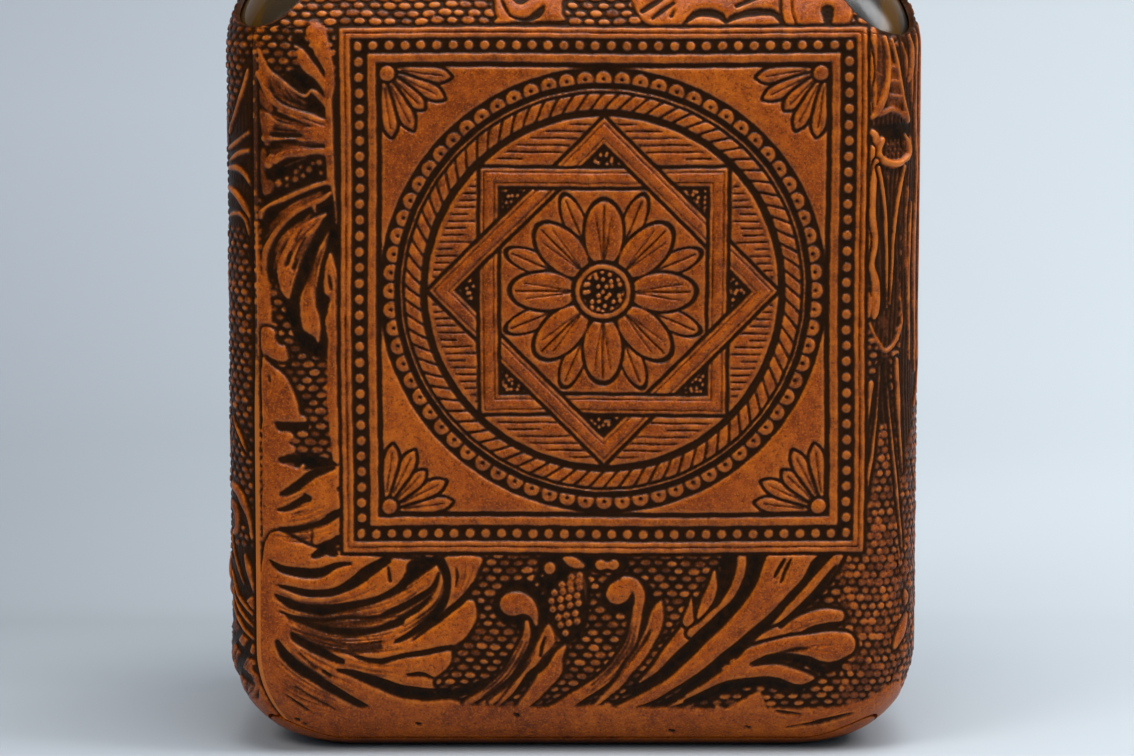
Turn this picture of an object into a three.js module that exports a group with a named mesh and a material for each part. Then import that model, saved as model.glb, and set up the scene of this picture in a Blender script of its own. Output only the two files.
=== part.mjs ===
// A flat-sided glass flask in a jacket of embossed leather, closed by a leather-covered cork stopper.
// Millimetres, +Z up, front towards -Y. The origin is the middle of the underside.
import * as THREE from "three";

// Body, measured over the leather
const bodyWidth = 116;
const bodyDepth = 72;
const cornerRadius = 12;
const baseRise = 18; // height at which the walls begin to curve under
const sideFootInset = 17; // how far the underside's edge lies inside the narrow sides
const faceFootInset = 11; // the same at the front and the back
const footCornerRadius = 8;
const shoulderHeight = 118;
const shoulderRise = 27;
const sideShoulder = { start: 2, finish: 0.55 }; // how late and how fast the narrow sides turn in
const faceShoulder = { start: 1.5, finish: 0.8 }; // the same for the front and the back

// Leather and glass
const leatherThickness = 1.5;
const glassWall = 3.5;
const glueGap = 0.3;

// Jacket cut
const seamAngle = 34; // degrees from the front face round the front left corner
const jacketHem = 2.2; // height of the joint with the base leather along each face
const cornerHem = 6; // the same at the corners
const hemGap = 0.7; // open joint between jacket and base leather
const windowDepth = 0.24; // share of the shoulder's rise over which a window reaches its full width
const windowAngle = 40; // degrees of the corner left bare on each side of its middle
const windowTopAngle = 20; // the same where the flaps meet the neck

// Neck
const neckRadius = 13.2;
const boreRadius = 9.8;
const neckLength = 38;
const lipRadius = 15.8;
const lipHeight = 6;
const lipRound = 1.4;
const collarThickness = 4;

// Stopper
const corkLength = 24;
const corkTaper = 0.9;
const corkChamfer = 1;
const corkClearance = 0.3;
const dowelRadius = 4;
const dowelInCork = 15;
const dowelInHead = 13;
const headRadius = 17.2;
const headHeight = 22;
const headDome = 4;
const headRound = 1.5;

// Fineness of the faceted surfaces
const columnPlaces = [0, 1 / 12, 1 / 6, 1 / 4, 1 / 2, 3 / 4, 5 / 6, 11 / 12];
const baseSteps = 5;
const windowSteps = 7;
const shoulderSteps = 8;
const turnSteps = 36;

const rightAngle = Math.PI / 2;
const cornerShare = 1 / 4; // of each quarter of the way round, a corner's half takes this much
const halfCorner = 45;
const probe = 1e-4;
const neckFoot = shoulderHeight + shoulderRise;
const mouth = neckFoot + neckLength;
const sleeveInside = neckRadius + glueGap;
const sleeveOutside = sleeveInside + leatherThickness;
const flapReach = sleeveOutside + glueGap;
const glassDepth = leatherThickness + glueGap;
const { lerp, degToRad } = THREE.MathUtils;

// The body's outer form. Its stations run 0 to 1 round the bottom edge, 1 to 2 up the wall, 2 to 3 over
// the shoulder.
function shoulderTurn(height, { start, finish }) {
  return 1 - (1 - height ** start) ** finish;
}

function sectionAt(station) {
  if (station <= 1) {
    const turn = station * rightAngle;
    const inset = 1 - Math.sin(turn);
    return {
      z: baseRise * (1 - Math.cos(turn)),
      halfWidth: bodyWidth / 2 - sideFootInset * inset,
      halfDepth: bodyDepth / 2 - faceFootInset * inset,
      radius: lerp(cornerRadius, footCornerRadius, inset),
    };
  }
  const height = Math.sin(Math.max(station - 2, 0) * rightAngle);
  const faceTurn = shoulderTurn(height, faceShoulder);
  return {
    z: station <= 2 ? lerp(baseRise, shoulderHeight, station - 1) : shoulderHeight + shoulderRise * height,
    halfWidth: lerp(bodyWidth / 2, flapReach, shoulderTurn(height, sideShoulder)),
    halfDepth: lerp(bodyDepth / 2, flapReach, faceTurn),
    radius: lerp(cornerRadius, flapReach - glueGap, faceTurn),
  };
}

// A place round a section: 0 to 1 is the front from corner to corner, then the right, the back and the left.
function sectionPoint({ z, halfWidth, halfDepth, radius }, around) {
  const quarter = Math.floor(around);
  const share = around - quarter;
  const wide = quarter % 2 === 0;
  const reach = wide ? halfDepth : halfWidth;
  const run = (wide ? halfWidth : halfDepth) - radius;
  const fromCorner = Math.min(share, 1 - share);
  const side = share < 1 / 2 ? -1 : 1;
  const turn = degToRad(halfCorner * Math.max(1 - fromCorner / cornerShare, 0));
  const straight = Math.min((1 / 2 - fromCorner) / (1 / 2 - cornerShare), 1);
  const along = side * (run * straight + radius * Math.sin(turn));
  const out = reach - radius * (1 - Math.cos(turn));
  return new THREE.Vector3(along, -out, z).applyAxisAngle(new THREE.Vector3(0, 0, 1), quarter * rightAngle);
}

// A point of the body's form, or of a layer that lies a given depth under it.
function bodyPoint(station, around, depth) {
  const below = sectionPoint(sectionAt(Math.max(station - probe, 0)), around);
  const above = sectionPoint(sectionAt(Math.min(station + probe, 3)), around);
  const section = sectionAt(station);
  const onwards = sectionPoint(section, around + probe).sub(sectionPoint(section, around - probe));
  const outwards = onwards.cross(above.sub(below)).normalize();
  return sectionPoint(section, around).addScaledVector(outwards, -depth);
}

function meshGeometry(points, triangles) {
  const geometry = new THREE.BufferGeometry().setFromPoints(points);
  geometry.setIndex(triangles.flat());
  return geometry;
}

// A closed sheet: the same faces on the outer and the inner points, walled along every open edge.
function sheetGeometry(outer, inner, quads) {
  const faces = quads.flatMap(([a, b, c, d]) => [[a, b, c], [a, c, d]]).filter((f) => new Set(f).size === 3);
  const edges = new Map();
  for (const face of faces) {
    face.forEach((from, i) => edges.set(`${from},${face[(i + 1) % 3]}`, [from, face[(i + 1) % 3]]));
  }
  const shift = outer.length;
  const lining = faces.map(([a, b, c]) => [a + shift, c + shift, b + shift]);
  const walls = [];
  for (const [from, to] of edges.values()) {
    if (!edges.has(`${to},${from}`)) {
      walls.push([to, from, from + shift], [to, from + shift, to + shift]);
    }
  }
  return meshGeometry([...outer, ...inner], [...faces, ...lining, ...walls]);
}

// A closed skin over a stack of rings, with a middle point at each end.
function stackGeometry(rings, start, end) {
  const count = rings[0].length;
  const points = [...rings.flat(), start, end];
  const first = rings.length * count;
  const top = (rings.length - 1) * count;
  const triangles = [];
  for (let i = 0; i < count; i += 1) {
    const next = (i + 1) % count;
    triangles.push([first, next, i], [top + i, top + next, first + 1]);
    for (let row = 0; row < top; row += count) {
      triangles.push([row + i, row + next, row + count + next], [row + i, row + count + next, row + count + i]);
    }
  }
  return meshGeometry(points, triangles);
}

// A turned body. Its profile is listed from the foot up, as [radius, height].
function turnedGeometry(profile) {
  const points = profile.map(([radius, height]) => new THREE.Vector2(radius, height));
  return new THREE.LatheGeometry(points, turnSteps).rotateX(rightAngle);
}

// Points of a quarter of a round edge, from a start angle, each as [radius, height].
function roundedEdge(radius, height, round, startAngle, steps = 3) {
  return Array.from({ length: steps + 1 }, (_, i) => {
    const angle = degToRad(startAngle + (90 * i) / steps);
    return [radius + round * Math.cos(angle), height + round * Math.sin(angle)];
  });
}

// Height of the joint between jacket and base leather, as a station of the bottom edge.
function hemStation(around) {
  const share = around - Math.floor(around);
  const towardsCorner = Math.max(1 - Math.min(share, 1 - share) / cornerShare, 0);
  const hem = lerp(jacketHem, cornerHem, THREE.MathUtils.smoothstep(towardsCorner, 0, 1));
  return Math.acos(1 - hem / baseRise) / rightAngle;
}

const allPlaces = [0, 1, 2, 3].flatMap((quarter) => columnPlaces.map((share) => quarter + share));
const steps = (count, from, to) => Array.from({ length: count }, (_, i) => lerp(from, to, (i + 1) / count));

// The bottle: up the outside, over the lip, down the bore and round the inside.
function glassBottle() {
  const stations = [0, ...steps(baseSteps, 0, 1), 2, ...steps(shoulderSteps, 2, 3)];
  const bodyRings = (depth) => stations.map((station) => allPlaces.map((a) => bodyPoint(station, a, depth)));
  const neckRing = ([radius, z]) => {
    const section = { z, halfWidth: radius, halfDepth: radius, radius: radius - glueGap };
    return allPlaces.map((around) => sectionPoint(section, around));
  };
  const lip = mouth - lipHeight;
  const shoulderTop = neckFoot - glassDepth;
  const insideTop = shoulderTop - glassWall;
  const neck = [
    [neckRadius, neckFoot],
    [neckRadius, lip],
    ...roundedEdge(lipRadius - lipRound, lip + lipRound, lipRound, -90),
    ...roundedEdge(lipRadius - lipRound, mouth - lipRound, lipRound, 0),
    [boreRadius, mouth],
    [boreRadius, shoulderTop],
    [lerp(boreRadius, flapReach, 1 / 2), lerp(insideTop, shoulderTop, 1 / 4)],
  ];
  const inside = glassDepth + glassWall;
  const rings = [...bodyRings(glassDepth), ...neck.map(neckRing), ...bodyRings(inside).reverse()];
  return stackGeometry(rings, new THREE.Vector3(0, 0, glassDepth), new THREE.Vector3(0, 0, inside));
}

// The jacket: four quarters joined below the shoulder, open along the seam, free as flaps above it.
function bodyJacket() {
  const seam = cornerShare * (1 - seamAngle / halfCorner);
  const seamGap = (cornerShare * glueGap) / (cornerRadius * degToRad(halfCorner));
  const windowHeights = steps(windowSteps, 0, rightAngle).map((turn) => windowDepth * (1 - Math.cos(turn)));
  const windowStations = windowHeights.map((height) => 2 + Math.asin(height) / rightAngle);
  const flapStations = steps(shoulderSteps, windowStations.at(-1), 3);
  const rows = [0, ...steps(baseSteps, 0, 1)].map((rise) => ({ rise }));
  rows.push(...[2, ...windowStations, ...flapStations].map((station) => ({ station })));
  const flapRow = baseSteps + 1;
  const windowShare = (height) => {
    const opened = Math.sqrt(1 - (1 - Math.min(height / windowDepth, 1)) ** 2);
    const angle = lerp(windowAngle, windowTopAngle, Math.max(height - windowDepth, 0) / (1 - windowDepth));
    return { opened, share: cornerShare * (angle / halfCorner) };
  };
  const outer = [];
  const inner = [];
  const known = new Map();
  const vertex = (quarter, column, row) => {
    const last = column === columnPlaces.length;
    const shared = last && quarter < 3 && row <= flapRow;
    const key = shared ? `${quarter + 1},0,${row}` : `${quarter},${column},${row}`;
    if (!known.has(key)) {
      const { rise, station } = rows[row];
      const height = Math.sin(Math.max((station ?? 0) - 2, 0) * rightAngle);
      const { opened, share } = windowShare(height);
      const start = lerp(quarter === 0 ? seam : 0, share, opened);
      const end = lerp(quarter === 3 ? 1 + seam - seamGap : 1, 1 - share, opened);
      const around = quarter + lerp(start, end, last ? 1 : columnPlaces[column]);
      const place = station ?? lerp(hemStation(around), 1, rise);
      known.set(key, outer.length);
      outer.push(bodyPoint(place, around, 0));
      inner.push(bodyPoint(place, around, leatherThickness));
    }
    return known.get(key);
  };
  const quads = [];
  for (let quarter = 0; quarter < 4; quarter += 1) {
    for (let column = 0; column < columnPlaces.length; column += 1) {
      for (let row = 0; row < rows.length - 1; row += 1) {
        const upper = (place) => vertex(quarter, place, row + 1);
        const lower = (place) => vertex(quarter, place, row);
        quads.push([lower(column), lower(column + 1), upper(column + 1), upper(column)]);
      }
    }
  }
  return sheetGeometry(outer, inner, quads);
}

// The base leather: a flat underside turned up round the bottom edge as far as the jacket's hem.
function baseLeather() {
  const hemShift = hemGap / (baseRise * rightAngle);
  const rows = [0, ...steps(baseSteps - 1, 0, 1)];
  const outer = [new THREE.Vector3(0, 0, 0)];
  const inner = [new THREE.Vector3(0, 0, leatherThickness)];
  for (const row of rows) {
    for (const around of allPlaces) {
      const station = row * (hemStation(around) - hemShift);
      outer.push(bodyPoint(station, around, 0));
      inner.push(bodyPoint(station, around, leatherThickness));
    }
  }
  const count = allPlaces.length;
  const quads = [];
  for (let i = 0; i < count; i += 1) {
    const next = (i + 1) % count;
    quads.push([1 + next, 1 + i, 0, 0]);
    for (let row = 0; row < rows.length - 1; row += 1) {
      const lower = 1 + row * count;
      quads.push([lower + i, lower + next, lower + count + next, lower + count + i]);
    }
  }
  return sheetGeometry(outer, inner, quads);
}

// The strip round the neck, with its butt joint at the back.
function neckSleeve() {
  const halfSlit = glueGap / (2 * sleeveOutside);
  const from = rightAngle + halfSlit;
  const to = rightAngle + 2 * Math.PI - halfSlit;
  const outline = new THREE.Shape();
  outline.absarc(0, 0, sleeveOutside, from, to, false);
  outline.absarc(0, 0, sleeveInside, to, from, true);
  const depth = neckLength - lipHeight - 2 * glueGap;
  const sleeve = new THREE.ExtrudeGeometry(outline, { depth, bevelEnabled: false, curveSegments: turnSteps });
  return sleeve.translate(0, 0, neckFoot + glueGap);
}

// The rolled ring that covers the ends of the flaps.
function neckCollar() {
  const round = collarThickness / 2;
  const outline = new THREE.Path().absarc(flapReach + round, neckFoot + glueGap + round, round, 0, 2 * Math.PI);
  return turnedGeometry(outline.getPoints(8).map(({ x, y }) => [x, y]));
}

// Stopper pieces, with heights from the mouth.
const washerFoot = glueGap;
const headFoot = washerFoot + leatherThickness + glueGap;
const headRim = headFoot + headHeight;
const bandInside = headRadius + glueGap;
const dowelHole = dowelRadius + glueGap;

function lipWasher() {
  const top = washerFoot + leatherThickness;
  return turnedGeometry([[dowelHole, washerFoot], [lipRadius, washerFoot], [lipRadius, top], [dowelHole, top],
    [dowelHole, washerFoot]]);
}

function corkPlug() {
  const radius = boreRadius - corkClearance;
  const foot = -corkLength;
  return turnedGeometry([[0, foot], [radius - corkTaper - corkChamfer, foot],
    [radius - corkTaper, foot + corkChamfer], [radius, 0], [dowelHole, 0],
    [dowelHole, -dowelInCork - glueGap], [0, -dowelInCork - glueGap]]);
}

function stopperDowel() {
  const top = headFoot + dowelInHead;
  return turnedGeometry([[0, -dowelInCork], [dowelRadius, -dowelInCork], [dowelRadius, top], [0, top]]);
}

// The crown that the head and its leather cap share, from the rim to the middle.
function crown(radius, rim, rise) {
  return [1, 0.8, 0.6, 0.4, 0.2, 0].map((share) => [radius * share, rim + rise * (1 - share ** 2)]);
}

function stopperCore() {
  const top = headFoot + dowelInHead + glueGap;
  return turnedGeometry([[0, top], [dowelHole, top], [dowelHole, headFoot], [headRadius - headRound, headFoot],
    [headRadius, headFoot + headRound], ...crown(headRadius, headRim, headDome)]);
}

function stopperBand() {
  const outside = bandInside + leatherThickness;
  const foot = headFoot;
  const edge = leatherThickness / 2;
  return turnedGeometry([[bandInside, foot], [outside - edge, foot], [outside, foot + edge], [outside, headRim],
    [bandInside, headRim], [bandInside, foot]]);
}

function stopperCap() {
  const rim = headRim + glueGap;
  const outside = bandInside + leatherThickness;
  const under = crown(bandInside, rim, headDome);
  const over = crown(outside, rim + leatherThickness / 2, headDome + leatherThickness / 2);
  return turnedGeometry([...under.reverse(), [outside, rim], ...over]);
}

function leather(color) {
  return new THREE.MeshStandardMaterial({ color, roughness: 0.45, metalness: 0 });
}

function piece(name, geometry, material) {
  const mesh = new THREE.Mesh(geometry, material);
  mesh.name = name;
  return mesh;
}

const glass = new THREE.MeshStandardMaterial({
  color: 0x4a3013, roughness: 0.08, metalness: 0, transparent: true, opacity: 0.75,
});
const cork = new THREE.MeshStandardMaterial({ color: 0xb58a5a, roughness: 0.9, metalness: 0 });
const beech = new THREE.MeshStandardMaterial({ color: 0xa87b4f, roughness: 0.7, metalness: 0 });
const dowelWood = new THREE.MeshStandardMaterial({ color: 0xc59a68, roughness: 0.7, metalness: 0 });

const flask = new THREE.Group();
flask.add(
  piece("glass_bottle", glassBottle(), glass),
  piece("body_jacket", bodyJacket(), leather(0x8a4a18)),
  piece("base_leather", baseLeather(), leather(0x6a3819)),
  piece("neck_sleeve", neckSleeve(), leather(0x7d4116)),
  piece("neck_collar", neckCollar(), leather(0x5a2c10)),
);

const stopper = new THREE.Group();
stopper.position.z = mouth;
stopper.add(
  piece("lip_washer", lipWasher(), leather(0x6e4524)),
  piece("cork_plug", corkPlug(), cork),
  piece("stopper_dowel", stopperDowel(), dowelWood),
  piece("stopper_core", stopperCore(), beech),
  piece("stopper_band", stopperBand(), leather(0x84460f)),
  piece("stopper_cap", stopperCap(), leather(0x8a4a18)),
);

const assembly = new THREE.Group();
assembly.add(flask, stopper);

export default assembly;
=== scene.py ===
import math
import bpy
import numpy as np
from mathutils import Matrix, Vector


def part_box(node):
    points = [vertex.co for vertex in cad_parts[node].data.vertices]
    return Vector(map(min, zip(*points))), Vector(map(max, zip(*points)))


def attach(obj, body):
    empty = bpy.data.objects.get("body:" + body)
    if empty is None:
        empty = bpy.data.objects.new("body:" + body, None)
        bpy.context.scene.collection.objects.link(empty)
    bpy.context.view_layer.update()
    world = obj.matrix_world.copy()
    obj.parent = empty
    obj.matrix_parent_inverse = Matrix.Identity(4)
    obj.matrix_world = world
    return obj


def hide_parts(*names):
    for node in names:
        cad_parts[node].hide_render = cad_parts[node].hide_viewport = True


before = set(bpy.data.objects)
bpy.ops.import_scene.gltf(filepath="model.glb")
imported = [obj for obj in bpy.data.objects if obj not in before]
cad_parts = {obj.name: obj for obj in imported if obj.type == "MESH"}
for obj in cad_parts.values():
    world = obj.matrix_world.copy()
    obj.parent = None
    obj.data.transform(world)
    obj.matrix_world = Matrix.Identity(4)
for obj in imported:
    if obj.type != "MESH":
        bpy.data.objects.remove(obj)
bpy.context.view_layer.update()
scene = bpy.context.scene
mm = 0.001


def boxOf(node):  # a node's lowest and highest corners in millimetres
    low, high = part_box(node)
    return np.array(low) / mm, np.array(high) / mm


jacketHigh = boxOf("body_jacket")[1]
glassHigh = boxOf("glass_bottle")[1]
sleeveLow, sleeveHigh = boxOf("neck_sleeve")
collarLow, collarHigh = boxOf("neck_collar")
washerLow, washerHigh = boxOf("lip_washer")
corkLow, corkHigh = boxOf("cork_plug")
coreLow, coreHigh = boxOf("stopper_core")
bandLow, bandHigh = boxOf("stopper_band")
capLow, capHigh = boxOf("stopper_cap")

# The flask's form over the leather, in millimetres
shoulderHeight = 118.0
flask = {
    "halfWidth": jacketHigh[0],
    "halfDepth": jacketHigh[1],
    "cornerRadius": 12.0,
    "baseRise": 18.0,           # where the walls begin to curve under
    "sideFootInset": 17.0,
    "faceFootInset": 11.0,
    "footCornerRadius": 8.0,
    "shoulderHeight": shoulderHeight,
    "shoulderRise": jacketHigh[2] - shoulderHeight,
    "sideShoulder": (2.0, 0.55),
    "faceShoulder": (1.5, 0.8),
    "flapReach": collarHigh[0] - 4.0,
    "leather": 1.5,
    "glassWall": 3.5,
    "gap": 0.3,
}
halfCorner = math.pi / 4
cornerShare = 0.25              # half a corner's part of each quarter of the way round


def lerp(a, b, share):
    return a + (b - a) * share


def smooth(x):
    x = np.clip(x, 0, 1)
    return x * x * (3 - 2 * x)


# The form: stations run 0 to 1 round the bottom edge, 1 to 2 up the wall, 2 to 3 over the shoulder
def sectionAt(station):
    station = np.asarray(station, float)
    turn = np.clip(station, 0, 1) * math.pi / 2
    inset = 1 - np.sin(turn)
    rise = np.sin(np.clip(station - 2, 0, 1) * math.pi / 2)
    sideTurn = 1 - (1 - rise ** flask["sideShoulder"][0]) ** flask["sideShoulder"][1]
    faceTurn = 1 - (1 - rise ** flask["faceShoulder"][0]) ** flask["faceShoulder"][1]
    wall = lerp(flask["baseRise"], flask["shoulderHeight"], np.clip(station - 1, 0, 1))
    z = np.where(station <= 1, flask["baseRise"] * (1 - np.cos(turn)), wall + flask["shoulderRise"] * rise)
    reach = flask["flapReach"]
    return {
        "z": z,
        "halfWidth": lerp(flask["halfWidth"], reach, sideTurn) - flask["sideFootInset"] * inset,
        "halfDepth": lerp(flask["halfDepth"], reach, faceTurn) - flask["faceFootInset"] * inset,
        "radius": lerp(flask["cornerRadius"], reach - flask["gap"], faceTurn)
        + (flask["footCornerRadius"] - flask["cornerRadius"]) * inset,
    }


# Round a section: 0 to 1 is the front from corner to corner, then the right, the back and the left
def sectionPoint(section, around):
    quarter = np.floor(around)
    share = around - quarter
    wide = quarter % 2 == 0
    radius = section["radius"]
    reach = np.where(wide, section["halfDepth"], section["halfWidth"])
    run = np.where(wide, section["halfWidth"], section["halfDepth"]) - radius
    fromCorner = np.minimum(share, 1 - share)
    side = np.where(share < 0.5, -1.0, 1.0)
    turn = halfCorner * np.clip(1 - fromCorner / cornerShare, 0, None)
    straight = np.clip((0.5 - fromCorner) / (0.5 - cornerShare), None, 1)
    along = side * (run * straight + radius * np.sin(turn))
    out = reach - radius * (1 - np.cos(turn))
    angle = quarter * math.pi / 2
    x = along * np.cos(angle) + out * np.sin(angle)
    y = along * np.sin(angle) - out * np.cos(angle)
    return np.stack([x, y, np.broadcast_to(section["z"], x.shape)], axis=-1)


def formPoints(station, around, depth):  # points a depth under the form, with the form's own normals
    probe = 1e-4
    section = sectionAt(station)
    below = sectionPoint(sectionAt(np.clip(station - probe, 0, 3)), around)
    above = sectionPoint(sectionAt(np.clip(station + probe, 0, 3)), around)
    onwards = sectionPoint(section, around + probe) - sectionPoint(section, around - probe)
    normal = np.cross(onwards, above - below)
    normal /= np.linalg.norm(normal, axis=-1, keepdims=True)
    return sectionPoint(section, around) - normal * np.asarray(depth)[..., None]


stationTable = np.linspace(0, 3, 1501)


def heightTable(reachName):  # length along a face's own profile, equal to the height on the wall
    section = sectionAt(stationTable)
    step = np.hypot(np.diff(section["z"]), np.diff(section[reachName]))
    length = np.concatenate([[0], np.cumsum(step)])
    return length - np.interp(1.5, stationTable, length) + float(sectionAt(1.5)["z"])


faceHeights = heightTable("halfDepth")
sideHeights = heightTable("halfWidth")


def alongFace(station, quarter, share):  # signed way along a face from its middle, round the corners too
    section = sectionAt(station)
    run = (section["halfWidth"] if quarter % 2 == 0 else section["halfDepth"]) - section["radius"]
    fromMiddle = np.abs(share - 0.5)
    straight = np.clip(fromMiddle / (0.5 - cornerShare), 0, 1)
    turn = halfCorner * np.clip((fromMiddle - (0.5 - cornerShare)) / cornerShare, 0, None)
    return np.sign(share - 0.5) * (run * straight + section["radius"] * turn)


# The jacket's cut
jacket = {
    "seam": cornerShare * (1 - 34 / 45),
    "seamGap": 0.006,
    "faceHem": 2.2,
    "cornerHem": 6.0,
    "windowDepth": 0.22,
    "windowStarts": ((0.13, 0.08), (0.08, 0.1), (0.1, 0.1), (0.1, 0.13)),  # shares of the rise
    "bend": 0.3,                # how much of a flap's width gives way beside a window
    "windowShare": cornerShare * 40 / 45,
    "windowTopShare": cornerShare * 20 / 45,
    "spacing": 0.25,
    "mostTriangles": 196000,
    "relief": 0.8,
}


def hemStation(around):
    share = around - np.floor(around)
    towards = np.clip(1 - np.minimum(share, 1 - share) / cornerShare, 0, None)
    hem = lerp(jacket["faceHem"], jacket["cornerHem"], smooth(towards))
    return np.arccos(1 - hem / flask["baseRise"]) / (math.pi / 2)


# Tooling boards: a raster of relief in millimetres of a face laid flat
def newBoard(reach, low, high, pitch=0.2):
    s = np.arange(-reach, reach + pitch, pitch)
    t = np.arange(low, high + pitch, pitch)
    gridS, gridT = np.meshgrid(s, t)
    return {"s": gridS, "t": gridT, "pitch": pitch, "low": (s[0], t[0]), "relief": np.zeros_like(gridS)}


wholeBoard = (slice(None), slice(None))


def windowOf(board, low, high):
    pitch = board["pitch"]
    rows, cols = board["relief"].shape
    first = [max(int((low[i] - board["low"][i]) / pitch), 0) for i in (0, 1)]
    last = [int((high[i] - board["low"][i]) / pitch) + 2 for i in (0, 1)]
    return slice(first[1], min(max(last[1], 0), rows)), slice(first[0], min(max(last[0], 0), cols))


def curveBetween(a, b, c, d, x):  # from b to c, heading on from a and towards d
    square, cube = 2 * a - 5 * b + 4 * c - d, 3 * b - a - 3 * c + d
    return 0.5 * (2 * b + (c - a) * x + square * x ** 2 + cube * x ** 3)


def smoothPath(points, step=0.3):  # a curve through given points of (across, up, half width)
    points = np.array(points, float)
    padded = np.vstack([2 * points[0] - points[1], points, 2 * points[-1] - points[-2]])
    curve = []
    for i in range(1, len(padded) - 2):
        a, b, c, d = padded[i - 1:i + 3]
        count = max(int(np.hypot(*(c - b)[:2]) / step), 1)
        x = np.linspace(0, 1, count, endpoint=False)[:, None]
        curve.append(curveBetween(a, b, c, d, x))
    curve = np.vstack(curve + [points[-1:]])
    curve[:, 2] = np.maximum(curve[:, 2], 0.08)
    return curve


def strokeDistance(board, points, margin=2.0):
    finest = max(row[2] for row in points) < 0.3
    curve = smoothPath(points, 0.1 if finest else 0.3)
    reach = curve[:, 2].max() + margin
    area = windowOf(board, curve[:, :2].min(0) - reach, curve[:, :2].max(0) + reach)
    s, t = board["s"][area], board["t"][area]
    distance = np.full(s.shape, margin)
    if not distance.size:
        return area, distance
    pitch = board["pitch"]
    for across, up, half in curve:
        i = int((up - t[0, 0]) / pitch)
        j = int((across - s[0, 0]) / pitch)
        n = int((half + margin) / pitch) + 1
        part = slice(max(i - n, 0), max(i + n, 0)), slice(max(j - n, 0), max(j + n, 0))
        distance[part] = np.minimum(distance[part], np.hypot(s[part] - across, t[part] - up) - half)
    return area, distance


def raiseShape(board, area, distance, level=1.0, edge=0.42, moat=0.0):
    relief = board["relief"]
    if moat:
        relief[area] *= 1 - smooth(0.5 - (distance - moat) / edge)
    crown = level - 0.12 * np.clip(1 + distance / 1.4, 0, 1)
    relief[area] = np.maximum(relief[area], crown * smooth(0.5 - distance / edge))


def cutShape(board, area, distance, depth=1.0, edge=0.42):
    board["relief"][area] *= 1 - depth * smooth(0.5 - distance / edge)


def leaf(board, points, moat=0.7, level=1.0):
    area, distance = strokeDistance(board, points)
    raiseShape(board, area, distance, level, moat=moat)


def vein(board, points, depth=0.85):
    area, distance = strokeDistance(board, points, 1.0)
    cutShape(board, area, distance, depth, 0.35)


def ball(board, across, up, radius, moat=0.6, level=1.0):
    reach = radius + 2
    area = windowOf(board, (across - reach, up - reach), (across + reach, up + reach))
    distance = np.hypot(board["s"][area] - across, board["t"][area] - up) - radius
    raiseShape(board, area, distance, level, moat=moat)


def bar(board, low, high, level=1.0, moat=0.0, edge=0.45):
    area = windowOf(board, np.array(low) - 2, np.array(high) + 2)
    s, t = board["s"][area], board["t"][area]
    distance = np.maximum(np.maximum(low[0] - s, s - high[0]), np.maximum(low[1] - t, t - high[1]))
    raiseShape(board, area, distance, level, edge, moat)


def turnedTo(side, points):  # 1 keeps them, -1 takes them across to the other side
    return [(across * side, *rest) for across, *rest in points]


def hash01(a, b, salt):  # a repeatable scatter between 0 and 1
    value = np.sin(a * 127.1 + b * 311.7 + salt * 74.7) * 43758.5453
    return value - np.floor(value)


pebbleGround = {"across": 2.3, "up": 1.28, "halfAcross": 0.92, "halfUp": 0.55, "level": 0.86}
roundGround = {"across": 1.62, "up": 1.3, "halfAcross": 0.8, "halfUp": 0.66, "level": 0.86}
shoulderGround = {"across": 2.5, "up": 1.4, "halfAcross": 1.05, "halfUp": 0.62, "level": 1.0}


def pebbles(board, low, high, ground=pebbleGround):  # rows of oval beads, each row set half a bead along
    area = windowOf(board, low, high)
    s, t = board["s"][area], board["t"][area]
    row = np.floor(t / ground["up"] + 0.1 * np.sin(s * 0.4))
    shifted = s / ground["across"] + 0.5 * (row % 2) + 0.12 * np.sin(t * 0.35)
    column = np.floor(shifted)
    offS = (shifted - column - 0.5) * ground["across"] + 0.36 * (hash01(row, column, 1) - 0.5)
    offT = t + (0.1 * np.sin(s * 0.4) - row - 0.5) * ground["up"] + 0.2 * (hash01(row, column, 2) - 0.5)
    size = 0.85 + 0.3 * hash01(row, column, 3)
    oval = np.hypot(offS / ground["halfAcross"], offT / ground["halfUp"]) / size
    level = ground["level"] * (0.68 + 0.32 * hash01(row, column, 4))
    board["relief"][area] = level * smooth((1.25 - oval) / 0.5)


print("form and tooling ready")


# The front: a plain geometric panel in a moulded frame, with foliage on a beaded ground round it
def grainGround(board, area, pitch=1.05, salt=11):  # irregular grains on a dark ground
    s, t = board["s"][area], board["t"][area]
    column, row = np.floor(s / pitch), np.floor(t / pitch)
    nearest = np.full(s.shape, 9.0)
    for i in (-1, 0, 1):
        for j in (-1, 0, 1):
            across = (column + i + 0.15 + 0.7 * hash01(column + i, row + j, salt)) * pitch
            up = (row + j + 0.15 + 0.7 * hash01(column + i, row + j, salt + 1)) * pitch
            nearest = np.minimum(nearest, np.hypot(s - across, t - up))
    return smooth((0.5 * pitch - nearest) / (0.28 * pitch))


def fillGround(board, area, inside, ground):  # lays a ground where a shape's distance is below nought
    share = smooth(0.5 - inside / 0.4)
    board["relief"][area] = lerp(board["relief"][area], ground, share)


panel = {
    "low": (-38.4, 34.2),
    "high": (48.4, 121.6),
    "ring": 33.4,           # the rope ring's outer radius
    "ringWidth": 4.2,
    "scallops": 72,
    "strap": 1.5,           # half the strap's width
    "square": 18.8,         # from the middle to a strap's middle
    "petals": 8,
    "petalRows": ((0.5, 12.8, 4.2, 2.5), (0.0, 9.6, 5.4, 1.72)),  # turn, middle, reach, narrowness
}


moulding = {                # ways in from the panel's edge, and half widths
    "lip": 1.1,
    "lipHalf": 0.95,
    "beads": 3.3,
    "beadRadius": 0.85,
    "beadPitch": 2.6,
    "groundHalf": 3.6,
    "rib": 5.4,
    "ribHalf": 0.75,
    "width": 6.0,
    "fan": 7.0,
}


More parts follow.
